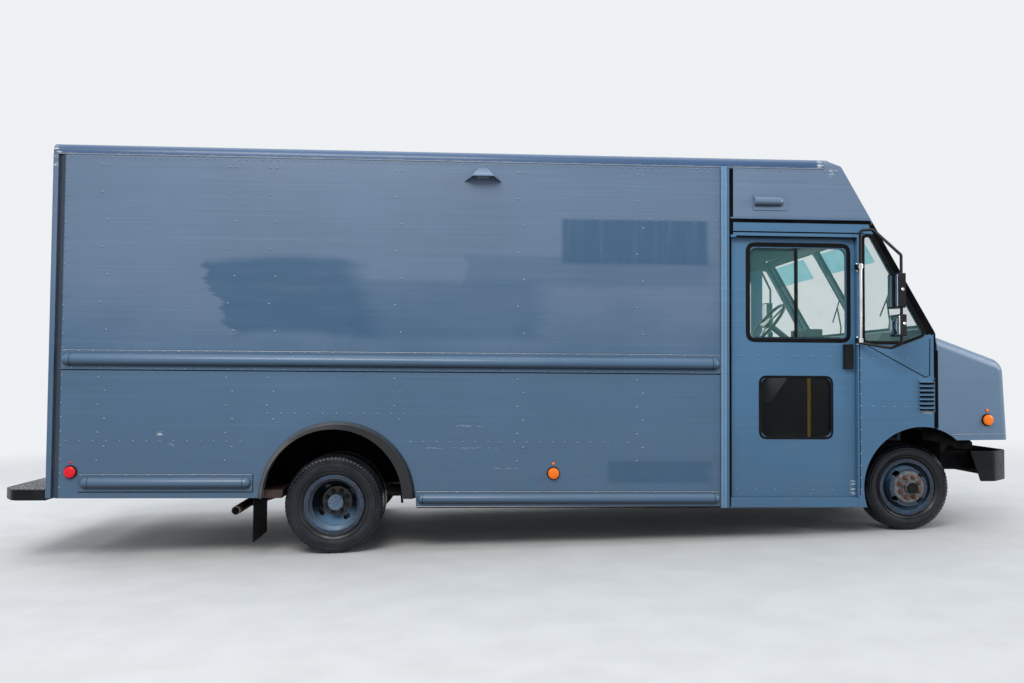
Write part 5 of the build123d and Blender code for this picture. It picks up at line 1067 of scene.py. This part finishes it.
# The markers on the walls: X, Z and the Z of the small lamp over each
RED_MARKER = (-1919, 613, 682)
AMBER_MARKER = (1636, 606, 679)
# The small lamps, as (along, out)
AMBER_BUTTON = ((0, 11), (4, 11), (7, 8), (9, 3))
RED_BUTTON = ((0, 9), (3, 9), (5, 6), (6, 2))
HOOD_BUTTON = ((0, 13), (5, 13), (9, 9), (11, 3))
HOOD_BUTTON_Z = 1093
TURN_SIGNAL = (5281, 5296, 915, 985, 1050, 1130)
SCOOP_LAMP = (1040, 1134, WALL_Y - 1, WALL_Y + 52, 2834, 2866)
BACKWARD = (-1, 0, 0)
BACK_X = -2095
TAIL_Y = 1110
TAIL_Z = (640, 780)
TAIL_R = 52
# The row under the roof: stations across the body, Z and radius
HIGH_LAMPS = (-TAIL_Y, -160, 0, 160, TAIL_Y)
HIGH_Z = 2860
HIGH_R = 32


def lamp(lenses, bezels, at, along, radius=LAMP_R):
    """A domed lens in a rubber ring, for a disc that stands 22 mm out."""
    bezels.turned([(reach, radius + wider) for reach, wider in BEZEL], at, along, 40)
    lenses.turned([(reach, radius * share) for reach, share in LENS], at, along, 40)


def add_lamps():
    bezels = Shape()
    hood_bezels = Shape()
    reds = Shape()
    ambers = Shape()
    hood_ambers = Shape()
    for name, s in SIDES:
        out = (0, s, 0)
        for lenses, (x, z, over), button in ((reds, RED_MARKER, RED_BUTTON),
                                             (ambers, AMBER_MARKER, AMBER_BUTTON)):
            lamp(lenses, bezels, (x, s * WALL_Y, z), out)
            lenses.turned(button, (x, s * WALL_Y, over), out, 16)
        x, y, z = HOOD_LAMP
        along = (HOOD_TAPER[0], s * HOOD_TAPER[1], 0)
        lamp(hood_ambers, hood_bezels, (x, s * y, z), along)
        hood_ambers.turned(HOOD_BUTTON, (x, s * y, HOOD_BUTTON_Z), along, 16).blocks(s, TURN_SIGNAL)
        for z in TAIL_Z:
            lamp(reds, bezels, (BACK_X, s * TAIL_Y, z), BACKWARD, TAIL_R)
        Shape().blocks(s, SCOOP_LAMP).piece(name + "_scoop_lamp", "lamp_glass", ease=0.004)
    for y in HIGH_LAMPS:
        lamp(reds, bezels, (BACK_X, y, HIGH_Z), BACKWARD, HIGH_R)
    bezels.piece("lamp_bezels", "rubber")
    hood_bezels.piece("hood_lamp_bezels", "rubber", body="hood")
    reds.piece("red_lenses", "red_lens")
    ambers.piece("amber_lenses", "amber_lens")
    hood_ambers.piece("hood_amber_lenses", "amber_lens", body="hood", ease=0.002)


add_lamps()


# Mirrors: the glasses on their backs and the bolts on their sides
HEAD_Y = 1455
HALF_GLASS = 76
GLASS_R = 12
# Each glass: bottom and top Z, and its stations as (X, size)
FLAT_GLASS = (1877, 2117, ((4171, 1.0), (4167, 0.99)))
ROUND_GLASS = (1665, 1810, ((4187, 1.0), (4180, 0.97), (4175, 0.8), (4172, 0.4)))
MIRROR_POST_X = 3996
MIRROR_POST_Y = WALL_Y + 65
# Turned pieces as (along, out): the heads' bolts, the brackets' bolts and the post's collars
HEAD_BOLT = ((-2, 13), (7, 13), (10, 9))
FOOT_BOLT = ((0, 8), (6, 8), (8, 5))
COLLAR = ((-17, 20), (17, 20))
# X and Z of the heads' bolts, and Z of the brackets and of the post's sleeve
HEAD_BOLTS = ((4202, 2003), (4214, 1749))
BRACKETS = (1630, 2200)
SLEEVE = (1622, 1900, 2222)


def facing(outline, stations):
    """Loops of one outline (Y, Z), each at its X and shrunk about its middle."""
    middle_y = sum(y for y, _ in outline) / len(outline)
    middle_z = sum(z for _, z in outline) / len(outline)
    return [[(x, middle_y + (y - middle_y) * size, middle_z + (z - middle_z) * size) for y, z in outline]
            for x, size in stations]


def add_mirror_details():
    for name, s in SIDES:
        glass = Shape()
        y0, y1 = sorted((s * (HEAD_Y - HALF_GLASS), s * (HEAD_Y + HALF_GLASS)))
        for z0, z1, stations in (FLAT_GLASS, ROUND_GLASS):
            glass.loft(facing(rounded(box_corners(y0, y1, z0, z1), GLASS_R), stations))
        glass.piece(name + "_mirror_glass", "glass", MIRROR_GLASS)
        bolts = Shape()
        out = (0, s, 0)
        for x, z in HEAD_BOLTS:
            bolts.turned(HEAD_BOLT, (x, s * (HEAD_Y + 85), z), out, 6)
        for z in BRACKETS:
            for dz in (-26, 26):
                bolts.turned(FOOT_BOLT, (MIRROR_POST_X, s * WALL_Y, z + dz), out, 6)
            bolts.turned(COLLAR, (MIRROR_POST_X, s * MIRROR_POST_Y, z), (0, 0, 1), 24)
        bolts.tube([(MIRROR_POST_X, s * MIRROR_POST_Y, z) for z in SLEEVE], 12.5, 20)
        bolts.piece(name + "_mirror_bolts", "mirror_black", CHROME, ease=0.001)


add_mirror_details()


# Windshield: seals, wipers and the tinted visors inside
SCREEN_SIN = sin(radians(30))
SCREEN_COS = cos(radians(30))
SCREEN_SEAL = ((0, -3), (-14, -1), (-18, 5), (-12, 9), (-2, 8), (3, 2), (3, -6))
# Each pane: near and far Y, lower and upper place on the screen, and the radius of its corners
SCREEN_PANE = (18, 1158, 62, 918)
SCREEN_R = 45
SCREEN_FOOT = (4620, 1696)
WIPER_PIVOT = ((-4, 20), (16, 20), (20, 14))
# Each pivot: across from the middle, how far both are shifted to the left, and up the screen
PIVOT_AT = (500, 60, 30)
# Each wiper in its own places: across from the pivot, up the screen and out from it
WIPER_ARM = ((0, 30, 14), (-120, 130, 22), (-290, 330, 16))
WIPER_BLADE = ((-40, 200, 8), (-290, 330, 8), (-540, 460, 8))
# The visors: near and far Y, lower and upper place on the screen, and how deep behind it
VISOR = (150, 1105, 700, 900)
VISOR_DEPTHS = (-92, -86)


def on_screen(y, up, high):
    """Lifts a place on the windshield's plane, up along its slope and out from it, into the drawing."""
    x, z = SCREEN_FOOT
    return x - up * SCREEN_SIN + high * SCREEN_COS, y, z + up * SCREEN_COS + high * SCREEN_SIN


def add_windshield_details():
    seals = Shape()
    wipers = Shape()
    blades = Shape()
    visors = Shape()
    y0, y1, up0, up1 = SCREEN_PANE
    across, shift, rise = PIVOT_AT
    for _, s in SIDES:
        near, far = sorted((s * y0, s * y1))
        seals.band(rounded(box_corners(near, far, up0, up1), SCREEN_R), on_screen, SCREEN_SEAL)
        pivot = s * across + shift
        wipers.turned(WIPER_PIVOT, on_screen(pivot, rise, 0), (SCREEN_COS, 0, SCREEN_SIN), 20)
        wipers.tube([on_screen(pivot + y, up, high) for y, up, high in WIPER_ARM], 7, 8)
        blades.tube([on_screen(pivot + y, up, high) for y, up, high in WIPER_BLADE], 6, 6)
        near, far = sorted((s * VISOR[0], s * VISOR[1]))
        corners = box_corners(near, far, *VISOR[2:])
        visors.loft([[on_screen(y, up, high) for y, up in corners] for high in VISOR_DEPTHS])
    seals.piece("windshield_seals", "rubber")
    wipers.piece("wiper_arms", "grille_black", ease=0.001)
    blades.piece("wiper_blades", "rubber")
    visors.piece("visors", "glass", VISOR_TINT)


add_windshield_details()


# Steps and rear: the nosings and ribs in the cab's step wells, the rear step's open tread, and the roll-up
# door's side tracks and latch
CAB_STEP_X = (3062, 3958)
CAB_FLOOR_Z = 850
CAB_STEP_Z = 455
# Stations of a nosing: its back, its lip's back and its front
NOSING_Y = (742, 788, 791)
STEP_TOP = 478
# The rear step's plan: straight across up to the taper's start, then this much across for this much back
TAPER_X = -2352
STEP_HALF = 1182
TAPER = (155, 108)
STEP_BACK = -2452
BACK_HALF = 1020
# The tread's bars, across and along: how many, the first one's station, their pitch and half their width
CROSS_BARS = (9, -2132, -38, 3)
LONG_BARS = (58, -1140, 40, 2.5)
BARS_FRONT = -2122
# The ribs on the cab's steps: first and last Y, pitch and width
RIBS = (806, 1112, 24, 9)
TRACKS = (-2100, -2093, 1002, 1030, 850, 2640)
TRACK_HEAD = (-2101, -2093, -1030, 1030, 2640, 2668)
LATCH_PLATE = (-2083, -2072, -60, 60, 905, 965)
LATCH_KNOB = ((0, 16), (14, 16), (18, 11))


def step_half(x):
    """How far across the step reaches at a station along the body."""
    return STEP_HALF if x > TAPER_X else STEP_HALF - (TAPER_X - x) * TAPER[0] / TAPER[1]


def add_steps_and_rear():
    tracks = Shape()
    for name, s in SIDES:
        nosing = Shape().blocks(s, (*CAB_STEP_X, NOSING_Y[0], NOSING_Y[2], CAB_FLOOR_Z - 1, CAB_FLOOR_Z + 3),
                                (*CAB_STEP_X, NOSING_Y[1], NOSING_Y[2], CAB_FLOOR_Z - 32, CAB_FLOOR_Z + 2))
        for y in range(*RIBS[:3]):
            nosing.blocks(s, (*CAB_STEP_X, y, y + RIBS[3], CAB_STEP_Z - 1, CAB_STEP_Z + 4))
        nosing.piece(name + "_step_nosing", "floor_steel", WORN_STEEL, ease=0.0006)
        tracks.blocks(s, TRACKS)
    tread = Shape()
    count, first, pitch, thick = CROSS_BARS
    for n in range(count):
        x = first + n * pitch
        half = step_half(x) - 8
        tread.blocks(1, (x - thick, x + thick, -half, half, STEP_TOP - 1, STEP_TOP + 6))
    count, first, pitch, thick = LONG_BARS
    for n in range(count):
        y = first + n * pitch
        reach = STEP_BACK + max(0, abs(y) - BACK_HALF) * TAPER[1] / TAPER[0]
        tread.blocks(1, (reach, BARS_FRONT, y - thick, y + thick, STEP_TOP - 1, STEP_TOP + 4))
    tread.piece("step_tread", "bumper_black", WORN_STEEL, ease=0.0006)
    tracks.blocks(1, TRACK_HEAD).piece("roll_door_tracks", "rail_blue", ease=0.002)
    latch = Shape().blocks(1, LATCH_PLATE).turned(LATCH_KNOB, (-2083, 0, 935), BACKWARD, 24)
    latch.piece("roll_door_latch", "spring_steel", WORN_STEEL, ease=0.002)


add_steps_and_rear()


# Cab inside: the driver's padded seat and the dials
SEAT_X = (3330, 3810)
SEAT_Y = (345, 775)
SEAT_Z = (1346, 1440)
SEAT_BACK_X = (3250, 3350)
SEAT_BACK_Z = (1450, 1990)
PEDESTAL = ((3420, 3760, 410, 710, 850, 1330), (3340, 3800, 355, 765, 1322, 1346))
CUSHION_R = 60
# A cushion's levels: share of its thickness, and size
CROWN = ((0.0, 0.97), (0.12, 1.0), (0.6, 1.0), (0.85, 0.95), (0.96, 0.84), (1.0, 0.6), (1.02, 0.3))
DIAL = ((0, 48), (5, 48), (6, 42))
DIALS = ((4199, 440, 1730), (4199, 560, 1730), (4199, 680, 1730))


def cushion(name, corners, low, high, along):
    """A crowned cushion: a rounded outline lofted from its base to its crown along X or Z."""
    outline = rounded(corners, CUSHION_R, 4)
    loops = facing(outline, [(low + (high - low) * share, size) for share, size in CROWN])
    if along == "Z":
        loops = [[(a, b, level) for level, a, b in loop] for loop in loops]
    made = Shape().loft(loops).piece(name, "seat_vinyl", smooth=70)
    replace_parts(made, "driver_seat")


def add_cab_inside():
    base = Shape().blocks(1, *PEDESTAL)
    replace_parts(base.piece("seat_pedestal", "spring_steel", ease=0.006), "driver_seat")
    cushion("seat_cushion", box_corners(*SEAT_X, *SEAT_Y), *SEAT_Z, "Z")
    cushion("seat_back", box_corners(*SEAT_Y, *SEAT_BACK_Z), *SEAT_BACK_X, "X")
    dials = Shape()
    for at in DIALS:
        dials.turned(DIAL, at, BACKWARD, 32)
    dials.piece("dials", "grille_black")


add_cab_inside()


# Light, floor and background
BACKGROUND = (0.86, 0.88, 0.90, 1)
SKY_TINT = (0.80, 0.88, 1.0, 1)
SKY_STRENGTH = 0.62
FLOOR_HALF = 60
FLOOR_TONES = ((0.60, 0.60, 0.59, 1), (0.65, 0.65, 0.64, 1))
FLOOR_BOUNCE = (0.30, 0.30, 0.30, 1)
# How far from the rear axle, in metres, the floor starts and ends to fade into the background
FLOOR_FADE = (4.5, 13.0)
# Soft boxes: name, place, what they look at, size, power and colour
LIGHTS = (
    ("key", (-2.5, -8.5, 8.0), (0.2, 0, 1.2), (6, 4), 640, (1.0, 0.98, 0.95)),
    ("top", (0, 0, 9.0), (0, 0, 0), (10, 6), 180, (0.92, 0.96, 1.0)),
    ("front_fill", (9.5, -3.0, 4.0), (1.5, 0, 1.2), (4, 4), 260, (1, 1, 1)),
    ("rear_fill", (-9.5, 2.0, 4.5), (-1.5, 0, 1.2), (4, 4), 200, (1, 1, 1)),
    ("left_fill", (0.0, 9.0, 6.0), (0, 0, 1.4), (9, 4), 320, (1, 1, 1)),
)


def camera_only(tree, shown, lit):
    """Shows one colour to the camera, to mirrors and through glass, and another to everything that is lit."""
    path = add_node(tree, "LightPath").node
    seen = path.outputs["Is Camera Ray"]
    for ray in ("Is Glossy Ray", "Is Transmission Ray"):
        seen = add_node(tree, "Math", {0: seen, 1: path.outputs[ray]}, operation="MAXIMUM")
    return add_node(tree, "MixShader", {0: seen, 1: lit, 2: shown})


def add_world():
    world = bpy.data.worlds.new("studio")
    bpy.context.scene.world = world
    world.use_nodes = True
    tree = world.node_tree
    lit = tree.nodes["Background"]
    lit.inputs["Color"].default_value = SKY_TINT
    lit.inputs["Strength"].default_value = SKY_STRENGTH
    shown = add_node(tree, "Background", {"Color": BACKGROUND})
    put(tree, tree.nodes["World Output"].inputs["Surface"], camera_only(tree, shown, lit.outputs[0]))


def add_floor():
    mesh = bpy.data.meshes.new("floor")
    corners = box_corners(-FLOOR_HALF, FLOOR_HALF, -FLOOR_HALF, FLOOR_HALF)
    mesh.from_pydata([(x, y, 0) for x, y in corners], [], [(0, 1, 2, 3)])
    finish = Finish("floor_finish", roughness=0.75)
    finish.set("Base Color", finish.mix(finish.patchy(0.3, 0.7, 3, 6), *FLOOR_TONES))
    away = finish.node("VectorMath", {0: finish.place}, "Value", operation="LENGTH")
    glow = finish.node("Emission", {"Color": BACKGROUND})
    faded = {0: finish.between(away, *FLOOR_FADE), 1: finish.shader.outputs[0], 2: glow}
    dull = finish.node("BsdfDiffuse", {"Color": FLOOR_BOUNCE})
    surface = camera_only(finish.tree, finish.node("MixShader", faded), dull)
    put(finish.tree, finish.tree.nodes["Material Output"].inputs["Surface"], surface)
    mesh.materials.append(finish.material)
    placed("floor", mesh)


def add_lights():
    for name, at, towards, size, power, colour in LIGHTS:
        data = bpy.data.lights.new(name, "AREA")
        data.shape = "RECTANGLE"
        data.size, data.size_y = size
        data.energy = power
        data.color = colour
        aim = Vector(towards) - Vector(at)
        turn = aim.to_track_quat("-Z", "Y").to_matrix().to_4x4()
        placed(name, data).matrix_world = Matrix.Translation(at) @ turn


add_world()
add_floor()
add_lights()

bpy.context.scene.view_settings.view_transform = "Standard"
